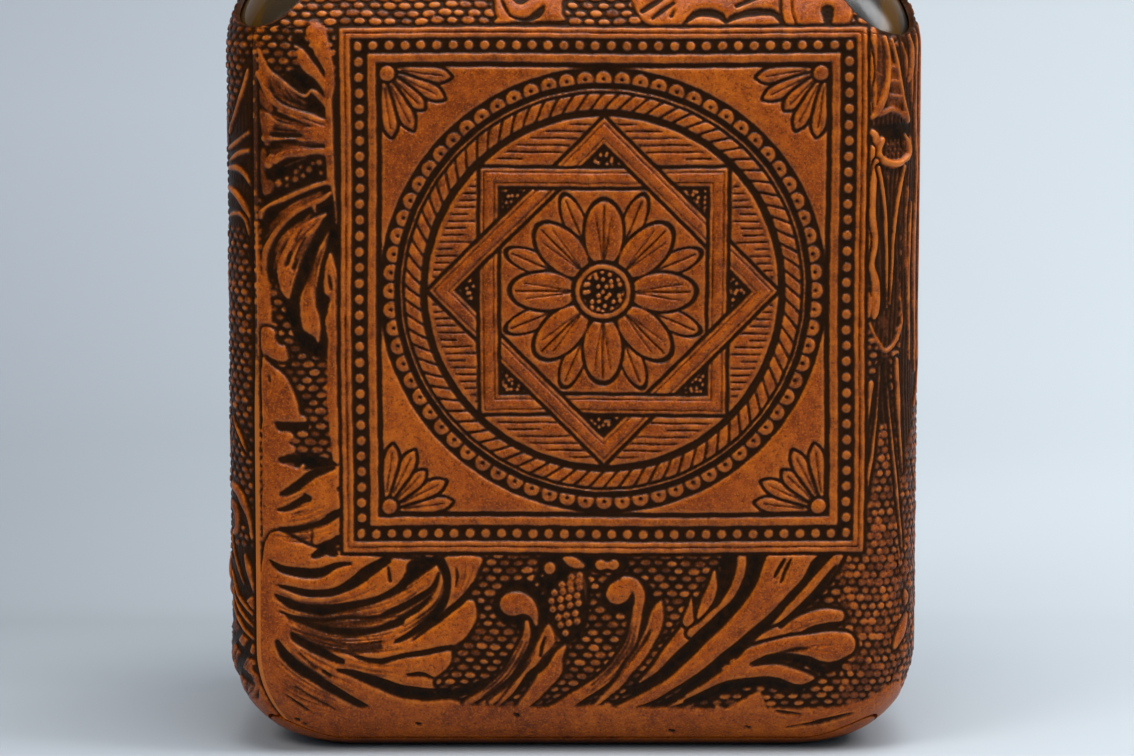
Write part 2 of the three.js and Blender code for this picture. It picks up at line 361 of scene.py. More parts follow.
def mouldedFrame(board, area, inside, along):
    lip, beads = inside + moulding["lip"], inside + moulding["beads"]
    step = along / moulding["beadPitch"]
    bead = np.hypot((step - np.floor(step) - 0.5) * moulding["beadPitch"], beads)
    cutShape(board, area, np.abs(beads) - moulding["groundHalf"])
    raiseShape(board, area, np.abs(lip) - moulding["lipHalf"])
    cutShape(board, area, np.abs(lip) - 0.12, 0.7, 0.3)
    raiseShape(board, area, np.abs(inside + moulding["rib"]) - moulding["ribHalf"])
    raiseShape(board, area, bead - moulding["beadRadius"], 0.95)


def panelArea(board):  # ways from the panel's middle, out of its edge and along the nearest side
    low, high = np.array(panel["low"]), np.array(panel["high"])
    middle, half = (low + high) / 2, (high - low) / 2
    area = windowOf(board, low - 2, high + 2)
    x, y = board["s"][area] - middle[0], board["t"][area] - middle[1]
    past = np.abs(x) - half[0], np.abs(y) - half[1]
    return area, x, y, np.maximum(*past), np.where(past[0] > past[1], y, x)


def petalShape(distance, angle, sector, shift, centre, narrow):  # ways from the petal's rib and middle
    turn = angle / sector + shift
    turn = (turn - np.round(turn)) * sector
    beside = np.abs(distance * np.sin(turn))
    return beside, np.hypot(distance * np.cos(turn) - centre, beside * narrow)


def geometricPanel(board):
    area, x, y, inside, along = panelArea(board)
    distance, angle = np.hypot(x, y), np.arctan2(y, x)
    fillGround(board, area, inside + moulding["width"], 0.93)
    mouldedFrame(board, area, inside, along)
    (left, low), (right, high) = panel["low"], panel["high"]
    for across, sideS in ((left + moulding["fan"], 1), (right - moulding["fan"], -1)):
        for up, sideT in ((low + moulding["fan"], 1), (high - moulding["fan"], -1)):
            cornerFan(board, np.array([across, up]), sideS, sideT)
    scallop = 2 * math.pi * (panel["ring"] + 1.6) / panel["scallops"]
    lobe = angle / (2 * math.pi) * panel["scallops"]
    lobe = (lobe - np.round(lobe)) * scallop
    edging = np.hypot(lobe, np.clip(distance - panel["ring"] - 1.5, 0, None)) - scallop * 0.46
    beyondRing = np.maximum(distance - panel["ring"] - 3.4, inside + 6.5)
    fillGround(board, area, np.maximum(beyondRing, panel["ring"] - distance), 0.0)
    edging = np.maximum(np.maximum(edging, beyondRing + 0.3), panel["ring"] + 0.5 - distance)
    raiseShape(board, area, edging, 0.95)
    bore = np.hypot(lobe, distance - panel["ring"] - 1.6)
    cutShape(board, area, bore - 0.28, 0.95, 0.3)
    fillGround(board, area, distance - panel["ring"], 0.92)
    ringMiddle = panel["ring"] - panel["ringWidth"] / 2
    lean = (angle * ringMiddle + 0.9 * (distance - ringMiddle)) / 2.4
    rope = np.abs(lean - np.round(lean)) * 2.4 * 0.74
    cutShape(board, area, np.where(np.abs(distance - ringMiddle) < 1.35, rope - 0.16, 2.0), 0.9, 0.35)
    for radius, width in ((panel["ring"] + 0.45, 0.45), (ringMiddle + 1.5, 0.2), (ringMiddle - 1.5, 0.2),
                          (panel["ring"] - panel["ringWidth"], 0.3)):
        cutShape(board, area, np.abs(distance - radius) - width, 1.0, 0.35)
    squares = []
    normals = []
    for turn in (0, math.pi / 4):
        u = x * math.cos(turn) + y * math.sin(turn)
        v = y * math.cos(turn) - x * math.sin(turn)
        squares.append(np.maximum(np.abs(u), np.abs(v)) - panel["square"])
        normals.append(turn + np.round((angle - turn) / (math.pi / 2)) * math.pi / 2)
    over = np.sin(normals[1] - normals[0]) > 0
    first, second = squares
    within = distance - (panel["ring"] - panel["ringWidth"] - 0.6)
    points = np.maximum(np.minimum(first, second), -np.maximum(first, second)) + 0.2
    fillGround(board, area, np.maximum(points, within), 0.95 * grainGround(board, area, 0.95, 21))
    hatch = np.abs(y / 1.15 - np.round(y / 1.15)) * 1.15 - 0.13
    shade = panel["square"] + 5.2 + 1.6 * np.sin(np.round(y / 1.15) * 2.4)
    beyond = np.minimum(first, second) > 2.2
    cutShape(board, area, np.where(beyond & (distance > shade) & (within < -0.5), hatch, 2.0), 0.85, 0.3)
    gap = panel["strap"] + 0.5
    for mine, other, hidden in ((first, second, ~over), (second, first, over)):
        under = hidden & (np.abs(other) < gap)
        shown = np.where(under, 2.0, np.abs(mine) - panel["strap"])
        raiseShape(board, area, np.where(within < 0.3, shown, 2.0), moat=0.5)
        grooves = np.abs(np.abs(mine) - 0.85) - 0.09
        cutShape(board, area, np.where(under | (within > 0.3), 2.0, grooves), 0.7, 0.3)
    sector = 2 * math.pi / panel["petals"]
    for shift, centre, reach, narrow in panel["petalRows"]:
        beside, outer = petalShape(distance, angle, sector, shift, centre, narrow)
        raiseShape(board, area, (outer - reach) / 1.25, moat=0.55)
        cutShape(board, area, np.where(outer < reach - 0.6, beside - 0.12, 2.0), 0.9, 0.32)
        rib = np.abs(beside - (distance - 4.0) * 0.15) - 0.09
        cutShape(board, area, np.where(outer < reach - 1.3, rib, 2.0), 0.75, 0.3)
    raiseShape(board, area, distance - 4.6, moat=0.6)
    cutShape(board, area, np.abs(distance - 3.6) - 0.15, 0.95, 0.3)
    seeds = grainGround(board, area, 1.15, 31)
    fillGround(board, area, distance - 3.4, seeds)


def cornerFan(board, corner, sideS, sideT):  # five veined leaves spread from a corner
    for turn in np.radians([8, 26.5, 45, 63.5, 82]):
        reach = 9.6 if abs(turn - math.pi / 4) < 0.1 else 11.4
        tip = np.array([math.cos(turn) * sideS, math.sin(turn) * sideT])
        points = [(*(corner + tip * reach * share), half) for share, half in
                  ((0.2, 0.25), (0.55, 0.95), (0.82, 1.15), (1.0, 0.15))]
        leaf(board, points, 0.4)
        vein(board, [(*(corner + tip * reach * 0.3), 0.1), (*(corner + tip * reach * 0.88), 0.1)])
    ball(board, *(corner + np.array([sideS, sideT]) * 0.9), 1.3, 0.4)


# Ornament is drawn on a plate, six units to the millimetre, as it looks from the front
plate = {
    "middle": 573.0,
    "row": 400.0,               # lies at the height
    "height": 60.0,
    "scale": 6.0,               # units to a millimetre
    "across": 0.982,            # how the view shortens it
    "above": 0.989,
    "below": 1.008,
    "footPull": 0.17,
    "shoulderPush": 0.04,
}
sheets = {                      # parts of the plate at their own enlargement: left, top, zoom
    "leftTop": (228, 30, 9.8),
    "leftMiddle": (228, 180, 9.8),
    "leftLow": (228, 330, 9.8),
    "leftFoot": (228, 470, 13.07),
    "footA": (228, 545, 8.25),
    "footB": (380, 545, 8.25),
    "footC": (530, 545, 8.25),
    "footD": (690, 545, 6.817),
    "cornerTop": (850, 20, 8.71),
    "cornerMiddle": (850, 190, 8.71),
    "cornerLow": (850, 360, 7.84),
    "scrollTop": (440, 0, 8.711),
    "shoulderRight": (560, 0, 4.296),
}
frontRun = flask["halfWidth"] - flask["cornerRadius"]
sideRun = flask["halfDepth"] - flask["cornerRadius"]
halfArc = flask["cornerRadius"] * halfCorner


def plateAcross(x):  # the plate's way across, laid round the corner where the leather turns away
    flat = (x - plate["middle"]) / plate["scale"] * plate["across"]
    past = np.clip((np.abs(flat) - frontRun) / flask["cornerRadius"], 0, 0.98)
    return np.sign(flat) * (np.minimum(np.abs(flat), frontRun) + flask["cornerRadius"] * np.arcsin(past))


def plateUp(y):
    rise = (plate["row"] - y) / plate["scale"]
    up = plate["height"] + rise * np.where(rise > 0, plate["above"], plate["below"])
    lowered = plate["footPull"] * np.clip(flask["baseRise"] - up, 0, None)
    return up - lowered + plate["shoulderPush"] * np.clip(up - flask["shoulderHeight"], 0, None)


def sheetsOn(board, *names):
    return [(board, *sheets[name]) for name in names]


def drawn(sheet, points):
    left, top, zoom = sheet[1:]
    points = np.array(points, float)
    across = plateAcross(left + points[:, 0] / zoom)
    up = plateUp(top + points[:, 1] / zoom)
    if points.shape[1] == 2:
        return np.stack([across, up], 1)
    return np.stack([across, up, points[:, 2] / zoom / plate["scale"]], 1)


def cut(sheet, *lines, depth=1.0):
    for line in lines:
        area, distance = strokeDistance(sheet[0], drawn(sheet, line))
        cutShape(sheet[0], area, distance, depth)


def lay(sheet, *lines, moat=0.0, level=1.0):
    for line in lines:
        area, distance = strokeDistance(sheet[0], drawn(sheet, line))
        raiseShape(sheet[0], area, distance, level, moat=moat)


def evenly(points, count=12):
    curve = smoothPath(points)
    way = np.concatenate([[0], np.cumsum(np.hypot(*np.diff(curve[:, :2], axis=0).T))])
    return np.stack([np.interp(np.linspace(0, way[-1], count), way, curve[:, i]) for i in (0, 1)], 1)


comb = {"width": 1.0, "strength": 1.05, "edge": 0.28}


def flow(sheet, first, last, count, depth=0.7, half=0.1, raised=False):  # fine lines between two paths
    board = sheet[0]
    first, last = [evenly(drawn(sheet, [(x, y, 1) for x, y in path])) for path in (first, last)]
    for i in range(count):
        share = (i + 0.5 + 0.5 * (hash01(i, first[0, 0], 5) - 0.5)) / count
        start = int(4 * hash01(i, first[0, 1], 6))
        stop = 12 - int(4 * hash01(i, last[-1, 0], 7))
        path = lerp(first, last, share)[start:stop]
        taper = 0.1 + 1.3 * np.sin(np.linspace(0.1, 3.04, len(path)))
        width = comb["width"] * half * taper * (0.7 + 0.6 * hash01(i, last[0, 1], 8))
        area, distance = strokeDistance(board, np.column_stack([path, width]), 1.0)
        strength = min(comb["strength"] * depth * (0.6 + 0.5 * hash01(i, last[-1, 1], 9)), 1.0)
        if raised:
            raiseShape(board, area, distance - 0.1, 0.6 + 0.5 * strength)
        else:
            cutShape(board, area, distance, strength, comb["edge"])


def closedCurve(points, steps=6):
    points = np.array(points, float)
    a, b, c, d = [np.roll(points, shift, 0) for shift in (1, 0, -1, -2)]
    x = np.linspace(0, 1, steps, endpoint=False)[None, :, None]
    a, b, c, d = a[:, None], b[:, None], c[:, None], d[:, None]
    return curveBetween(a, b, c, d, x).reshape(-1, 2)


def insideCurve(board, points, steps=6):  # how far a place lies inside an outline, softened at its edge
    outline = closedCurve(points, steps)
    area = windowOf(board, outline.min(0) - 1, outline.max(0) + 1)
    s, t = board["s"][area], board["t"][area]
    inside = np.zeros(s.shape, bool)
    for (s0, t0), (s1, t1) in zip(outline, np.roll(outline, -1, 0)):
        if t0 == t1:
            continue
        crossing = (t0 > t) != (t1 > t)
        inside ^= crossing & (s < s0 + (t - t0) * (s1 - s0) / (t1 - t0))
    return area, soften(inside.astype(float), 1)


def soften(values, reach):
    for axis in (0, 1):
        total = np.zeros_like(values)
        for shift in range(-reach, reach + 1):
            total += np.roll(values, shift, axis)
        values = total / (2 * reach + 1)
    return values


def mass(sheet, *outlines, moat=0.0, level=0.95):
    board = sheet[0]
    relief = board["relief"]
    for outline in outlines:
        area, inside = insideCurve(board, drawn(sheet, outline))
        if moat:
            relief[area] *= 1 - np.clip(soften(inside, int(moat / board["pitch"])) * 3, 0, 1)
        relief[area] = np.maximum(relief[area], level * inside)


def hollow(sheet, *outlines):
    for outline in outlines:
        area, inside = insideCurve(sheet[0], drawn(sheet, outline))
        sheet[0]["relief"][area] *= 1 - inside


def dots(sheet, places, level=0.8):
    zoom = sheet[3] * plate["scale"]
    for x, y, radius in places:
        (across, up), = drawn(sheet, [(x, y)])
        ball(sheet[0], across, up, radius / zoom, 0.0, level)


def fanLeaf(board):  # the leaf that fans out from the bar at the upper left
    top, middle = sheetsOn(board, "leftTop", "leftMiddle")
    hollow(top, [(300, 380), (520, 450), (690, 380), (980, 420), (1050, 600), (1120, 900), (1130, 1600),
                 (1000, 1640), (260, 1640), (250, 700)])
    lay(top, [(870, 20, 100), (930, 200, 80), (990, 380, 55), (1000, 560, 45), (985, 700, 38),
              (985, 900, 40), (985, 1200, 45), (1000, 1568, 36)])
    cut(top, [(690, 90, 60), (790, 200, 25), (880, 330, 20), (940, 420, 10)])
    lay(top, [(720, 230, 45), (780, 340, 66), (880, 450, 45), (950, 560, 35), (985, 650, 35)])
    mass(top, [(285, 200), (350, 330), (470, 450), (600, 560), (660, 640), (600, 690), (500, 640),
               (400, 560), (330, 540), (290, 480)], level=0.74)
    mass(top, [(285, 560), (350, 640), (430, 760), (400, 820), (330, 760), (285, 700)], level=0.66)
    mass(top, [(285, 780), (390, 820), (450, 890), (430, 960), (400, 1020), (390, 1120), (330, 1120),
               (300, 960)], level=0.72)
    mass(top, [(285, 1190), (350, 1180), (340, 1420), (420, 1560), (300, 1600)], level=0.66)
    mass(top, [(720, 965), (960, 940), (960, 1100), (720, 1096), (640, 1086), (720, 1050)])
    cut(top, [(620, 1040, 5), (700, 1046, 9), (790, 1058, 8)],
             [(640, 1100, 5), (740, 1104, 9), (890, 1106, 8)],
             [(700, 985, 5), (760, 1000, 8), (800, 1010, 5)])
    lay(top, [(290, 200, 25), (380, 390, 30), (500, 490, 27), (640, 590, 20), (750, 650, 17),
              (820, 600, 22), (900, 660, 32), (960, 740, 24)])
    cut(top, [(400, 470, 12), (440, 580, 16), (500, 690, 10)],
             [(455, 500, 6), (520, 600, 14), (600, 700, 10)],
             [(560, 580, 6), (640, 680, 12), (720, 730, 8)])
    lay(top, [(460, 520, 11), (560, 640, 10)], [(540, 540, 10), (660, 680, 10)],
             [(640, 640, 11), (760, 720, 10)], [(400, 470, 16), (480, 640, 12)],
             [(600, 590, 9), (740, 730, 8)], [(430, 450, 12), (530, 640, 9)],
             [(470, 790, 9), (620, 840, 8)], [(520, 760, 8), (760, 830, 7), (880, 850, 6)], level=0.8)
    lay(top, [(280, 430, 30), (400, 650, 38), (480, 730, 33), (640, 800, 32), (800, 850, 30),
              (930, 900, 30)], [(480, 780, 14), (640, 850, 18), (760, 895, 20), (920, 950, 18)],
             [(360, 830, 25), (480, 910, 16), (640, 960, 16), (760, 1000, 14), (940, 1000, 20)],
             [(330, 1060, 36), (480, 1065, 18), (650, 1065, 14), (800, 1050, 14), (940, 1060, 24)])
    lay(top, [(500, 1120, 8), (700, 1112, 9), (940, 1110, 15)], level=0.8)
    lay(top, [(440, 1270, 46), (560, 1215, 40), (700, 1200, 42), (850, 1190, 34), (980, 1200, 40)],
             [(370, 1310, 48), (400, 1250, 40)])
    lay(top, [(540, 1330, 10), (640, 1290, 10), (760, 1250, 8)], level=0.8)
    dots(top, [(880, 1300, 34), (780, 1370, 36), (650, 1390, 30), (640, 1460, 36), (470, 1500, 42),
               (900, 1400, 26), (560, 1450, 26), (380, 1520, 50), (720, 1430, 26), (820, 1310, 24),
               (700, 1340, 22), (560, 1520, 24)])
    lay(middle, [(310, 330, 52), (400, 250, 38), (560, 170, 30), (700, 110, 28), (850, 50, 26),
                 (1000, 20, 25)])


def droopingLeaves(board):  # the three long leaves below the fan
    [middle] = sheetsOn(board, "leftMiddle")
    hollow(middle, [(320, 330), (600, 200), (1000, 60), (1110, 300), (1110, 900), (1000, 1700), (700, 1640),
                    (560, 1300), (440, 1000), (330, 900)])
    lay(middle, [(325, 1000, 26), (335, 720, 38), (400, 570, 32), (500, 440, 28), (640, 310, 28),
                 (780, 240, 25), (900, 190, 30), (990, 130, 20)], [(825, 240, 26), (840, 310, 14)],
                [(1010, 0, 30), (1030, 180, 16), (1050, 420, 12)])
    mass(middle, [(960, 330), (900, 420), (800, 590), (700, 800), (650, 950), (610, 1090), (575, 1160),
                  (500, 1090), (460, 950), (464, 800), (530, 655), (645, 480), (750, 405), (870, 350)])
    cut(middle, [(740, 560, 6), (690, 660, 8), (640, 770, 6)],
                [(600, 690, 10), (570, 770, 20), (550, 830, 12)], [(655, 780, 10), (625, 860, 14)],
                [(700, 480, 6), (640, 590, 8)], depth=0.85)
    mass(middle, [(975, 500), (940, 680), (890, 880), (855, 1060), (850, 1200), (890, 1330), (900, 1450),
                  (880, 1600), (840, 1540), (780, 1500), (720, 1450), (690, 1300), (690, 1150), (760, 980),
                  (830, 800), (880, 650), (930, 560)],
                 [(990, 700), (1050, 860), (1080, 960), (1078, 1200), (1078, 1640), (990, 1640),
                  (940, 1400), (960, 1300), (985, 1150), (930, 1100), (925, 950), (950, 800)])
    cut(middle, [(980, 930, 10), (990, 1000, 14), (1000, 1070, 10)], depth=0.9)
    lay(middle, [(330, 900, 30), (340, 1100, 50), (350, 1300, 56), (350, 1600, 66)],
                [(238, 300, 12), (240, 415, 17), (262, 868, 30), (285, 1211, 42), (300, 1551, 60),
                 (300, 1720, 60)])


def leftLeaves(board):  # what hangs from the seam's ridge lower down
    low, foot = sheetsOn(board, "leftLow", "leftFoot")
    mass(low, [(300, -20), (440, 0), (440, 80), (500, 150), (545, 150), (580, 280), (520, 310), (430, 300),
               (345, 262), (300, 250)], moat=0.5)
    mass(low, [(300, 290), (350, 310), (430, 370), (510, 420), (580, 510), (640, 640), (680, 760),
               (690, 830), (745, 850), (742, 905), (560, 905), (450, 905), (300, 900)], moat=0.9)
    cut(low, [(375, 450, 10), (385, 510, 12)], depth=0.8)
    lay(low, [(1030, -20, 42), (1010, 200, 48), (1010, 700, 56), (1035, 1200, 46), (1060, 1640, 40)])
    mass(low, [(300, 890), (400, 900), (480, 990), (600, 1015), (620, 1060), (570, 1100), (640, 1150),
               (620, 1210), (480, 1240), (440, 1300), (300, 1320)])
    cut(low, [(470, 950, 24), (560, 955, 32), (740, 948, 28)],
             [(480, 1270, 25), (620, 1265, 40), (800, 1290, 60), (950, 1310, 45), (1050, 1320, 8)])
    mass(low, [(300, 1290), (430, 1335), (560, 1395), (640, 1375), (690, 1310), (730, 1320), (700, 1390),
               (640, 1470), (520, 1545), (420, 1600), (300, 1640)])
    mass(foot, [(430, -10), (1000, -10), (1320, -60), (1480, 0), (1470, 620), (1420, 770), (1330, 880),
                (1200, 940), (1080, 1040), (1050, 1200), (430, 1230)])
    cut(foot, [(1340, -30, 22), (1200, 10, 40), (1050, 60, 55), (920, 150, 55), (800, 240, 55),
               (640, 310, 25)],
              [(600, 510, 18), (720, 490, 35), (850, 430, 42), (950, 375, 45), (1010, 370, 38)],
              [(960, 320, 20), (990, 345, 30)],
              [(620, 770, 30), (780, 770, 40), (1000, 730, 35), (1200, 670, 40), (1330, 590, 55),
               (1410, 540, 38)],
              [(490, 915, 18), (640, 925, 35), (850, 980, 45), (1050, 1030, 45), (1250, 990, 60),
               (1380, 890, 35)])
    cut(foot, [(1048, 780, 7), (1040, 960, 9)], depth=0.8)
    cut(foot, [(1400, 225, 16), (1408, 255, 18)])


def leafFlow(board):  # the fine combing of the leaves
    footA, footB, footC, footD = sheetsOn(board, "footA", "footB", "footC", "footD")
    top, middle, foot = sheetsOn(board, "leftTop", "leftMiddle", "leftFoot")
    upper = [(380, 330), (640, 400), (930, 355), (1150, 215)]
    second = [(345, 425), (600, 535), (900, 530), (1260, 445), (1419, 365)]
    third = [(380, 555), (700, 630), (1200, 608), (1419, 575)]
    fourth = [(450, 605), (820, 725), (1180, 725), (1419, 655)]
    fifth = [(480, 720), (800, 880), (1100, 900), (1419, 880)]
    for sheet, first, last, count, *how in (
        (footA, upper, second, 3, 0.45),
        (footA, second, third, 5, 0.7, 0.12),
        (footA, third, fourth, 4, 0.75, 0.12),
        (footA, fourth, fifth, 7, 0.6, 0.1),
        (footA, [(500, 780), (800, 915), (1000, 960)], [(430, 860), (700, 1060), (1000, 1230)], 4, 0.5),
        (footA, [(900, 900), (1150, 950), (1419, 960)], [(900, 1010), (1150, 1060), (1419, 1110)], 3, 0.45),
        (footA, [(330, 900), (560, 1060), (850, 1220)], [(330, 1150), (560, 1290), (900, 1370)], 6, 0.6),
        (footB, [(0, 600), (200, 500), (400, 380), (465, 240)],
         [(130, 810), (300, 720), (480, 560), (545, 380)], 6, 0.75, 0.12),
        (footB, [(0, 440), (200, 350), (380, 220)], [(0, 570), (200, 480), (420, 330)], 3, 0.5),
        (footB, [(620, 140), (640, 260), (600, 380)], [(780, 130), (760, 260), (680, 420)], 3, 0.6),
        (footB, [(1180, 760), (1100, 920), (900, 1140), (720, 1260)],
         [(1250, 780), (1170, 940), (1000, 1120), (800, 1260)], 2, 0.5),
        (footB, [(1330, 780), (1230, 950), (1080, 1120)], [(1290, 860), (1180, 1020), (960, 1230)], 3, 0.5),
        (footC, [(860, 660), (790, 840), (620, 1040), (300, 1230)],
         [(905, 680), (840, 880), (700, 1060), (380, 1260)], 2, 0.45),
        (footC, [(1080, 560), (960, 800), (700, 1130)], [(1030, 600), (880, 880), (620, 1200)], 3, 0.5),
        (footD, [(620, 120), (480, 380), (200, 660), (-150, 900)],
         [(790, 130), (640, 330), (380, 600), (20, 870)], 5, 0.32, 0.08),
        (footD, [(1000, 470), (820, 510), (560, 640)],
         [(1000, 510), (820, 560), (560, 680)], 2, 0.35, 0.08),
        (footD, [(1060, 640), (850, 660), (560, 700)],
         [(1060, 740), (850, 730), (560, 750)], 3, 0.32, 0.08),
        (foot, [(620, 530), (850, 460), (1020, 400)], [(620, 740), (1000, 700), (1330, 560)], 5, 0.55),
        (foot, [(640, 330), (920, 180), (1300, 0)], [(600, 480), (850, 410), (1010, 340)], 4, 0.45),
        (foot, [(620, 800), (1000, 770), (1300, 650)], [(520, 890), (850, 950), (1250, 950)], 4, 0.5),
        (middle, [(940, 380), (760, 650), (620, 1060)], [(860, 390), (620, 620), (500, 900)], 5, 0.55),
        (middle, [(960, 560), (860, 880), (840, 1200)], [(900, 660), (760, 1020), (720, 1300)], 4, 0.5),
        (middle, [(1020, 800), (1060, 1000), (1060, 1500)],
         [(970, 1350), (980, 1500), (1000, 1620)], 3, 0.5),
        (top, [(400, 560), (640, 700), (900, 800)],
         [(330, 700), (600, 840), (930, 890)], 3, 0.5, 0.1, True),
        (top, [(330, 780), (600, 880), (930, 960)],
         [(330, 1010), (600, 1020), (930, 1030)], 4, 0.55, 0.1, True),
        (top, [(380, 1110), (650, 1130), (930, 1150)],
         [(400, 1240), (650, 1190), (930, 1180)], 3, 0.5, 0.1, True),
        (middle, [(330, 430), (560, 260), (950, 80)],
         [(330, 620), (560, 380), (980, 140)], 5, 0.5, 0.1, True),
        (middle, [(380, 760), (480, 560), (760, 330)],
         [(460, 960), (520, 640), (820, 340)], 3, 0.45, 0.1, True),
    ):
        flow(sheet, first, last, count, *how)


def sweepingLeaf(board):  # the acanthus that sweeps along the foot from the seam
    footA, footB = sheetsOn(board, "footA", "footB")
    mass(footB, [(-1000, -20), (-560, 20), (-250, 60), (0, 100), (400, 130), (530, 100), (825, 100),
                 (800, 220), (755, 340), (700, 440), (775, 475), (790, 610), (705, 760), (590, 850),
                 (586, 918), (545, 1000), (440, 1080), (430, 1140), (560, 1240), (700, 1300), (0, 1420),
                 (-1000, 1420)], moat=0.6)
    cut(footA, [(300, 130, 10), (400, 190, 30), (560, 225, 40), (720, 225, 40), (860, 170, 25),
                (985, 150, 10)], [(670, 90, 20), (760, 50, 40), (850, 70, 25)])
    dots(footA, [(780, 105, 36), (735, 160, 30)])
    cut(footA, [(355, 325, 6), (480, 360, 22), (640, 395, 30), (800, 395, 30), (930, 350, 34),
                (1050, 285, 50), (1130, 220, 50), (1290, 130, 34)],
               [(345, 410, 10), (450, 470, 34), (600, 520, 38), (750, 535, 46), (900, 515, 34),
                (1100, 480, 26), (1260, 430, 24), (1419, 350, 32)], [(1305, 190, 8), (1318, 300, 12)])
    cut(footA, [(380, 545, 5), (520, 590, 13), (700, 620, 15), (950, 605, 13), (1200, 598, 14),
                (1290, 576, 14)], depth=0.95)
    cut(footA, [(640, 645, 8), (800, 655, 10), (1000, 650, 8), (1250, 630, 8)], depth=0.6)
    cut(footA, [(450, 590, 8), (650, 660, 20), (820, 710, 27), (1000, 725, 30), (1180, 712, 24),
                (1419, 640, 20)])
    for drop in (0, 34, 60):
        cut(footA, [(500, 690 + drop, 5), (650, 742 + drop, 7), (850, 800 + drop, 7),
                    (1050, 826 + drop * 0.7, 6), (1250, 800 + drop * 0.9, 8)], depth=0.75)
    cut(footA, [(480, 715, 6), (520, 770, 28), (650, 840, 36), (800, 910, 33), (915, 950, 22)],
               [(920, 880, 5), (1100, 935, 17), (1230, 950, 21), (1290, 945, 19)],
               [(885, 1015, 16), (1000, 1040, 28), (1150, 1090, 45), (1254, 1126, 50), (1404, 1178, 56)],
               [(365, 800, 22), (430, 900, 42), (560, 1000, 48), (700, 1080, 42), (850, 1170, 40),
                (1000, 1250, 34), (1120, 1310, 24), (1200, 1340, 6)])
    cut(footA, [(430, 1195, 5), (550, 1280, 12), (650, 1340, 10)],
               [(520, 1130, 4), (680, 1230, 7), (850, 1320, 7)], [(550, 880, 4), (650, 960, 7)],
               [(640, 965, 5), (700, 1000, 8)], [(760, 1020, 12), (810, 1055, 14)], depth=0.85)
    hollow(footB, [(-10, 430), (100, 385), (230, 330), (350, 240), (440, 175), (500, 120), (380, 120),
                   (225, 140), (200, 230), (120, 340), (0, 415)])
    cut(footB, [(0, 590, 18), (150, 520, 22), (300, 440, 24), (420, 360, 20), (470, 240, 10)],
               [(0, 680, 15), (150, 620, 20), (300, 530, 18), (400, 440, 12)],
               [(120, 800, 16), (250, 730, 20), (400, 620, 32), (500, 500, 34), (540, 380, 28),
                (535, 250, 34), (490, 150, 40)])
    cut(footB, [(100, 815, 6), (220, 770, 10), (330, 710, 8)], depth=0.7)
    cut(footB, [(620, 190, 6), (630, 260, 10), (615, 350, 5)], depth=0.9)
    cut(footB, [(250, 800, 8), (350, 720, 12), (450, 640, 19), (560, 550, 26), (680, 450, 28),
                (760, 330, 12)], [(0, 950, 21), (200, 910, 19), (350, 890, 24), (580, 852, 20)])
    cut(footB, [(210, 1050, 14), (330, 1050, 20), (440, 1085, 10)], depth=0.9)
    cut(footB, [(0, 1126, 46), (150, 1178, 56), (350, 1205, 58), (550, 1200, 48), (700, 1175, 34),
                (830, 1110, 24)])
    dots(footB, [(430, 1190, 14), (590, 1168, 16), (545, 1118, 30)], level=0.6)


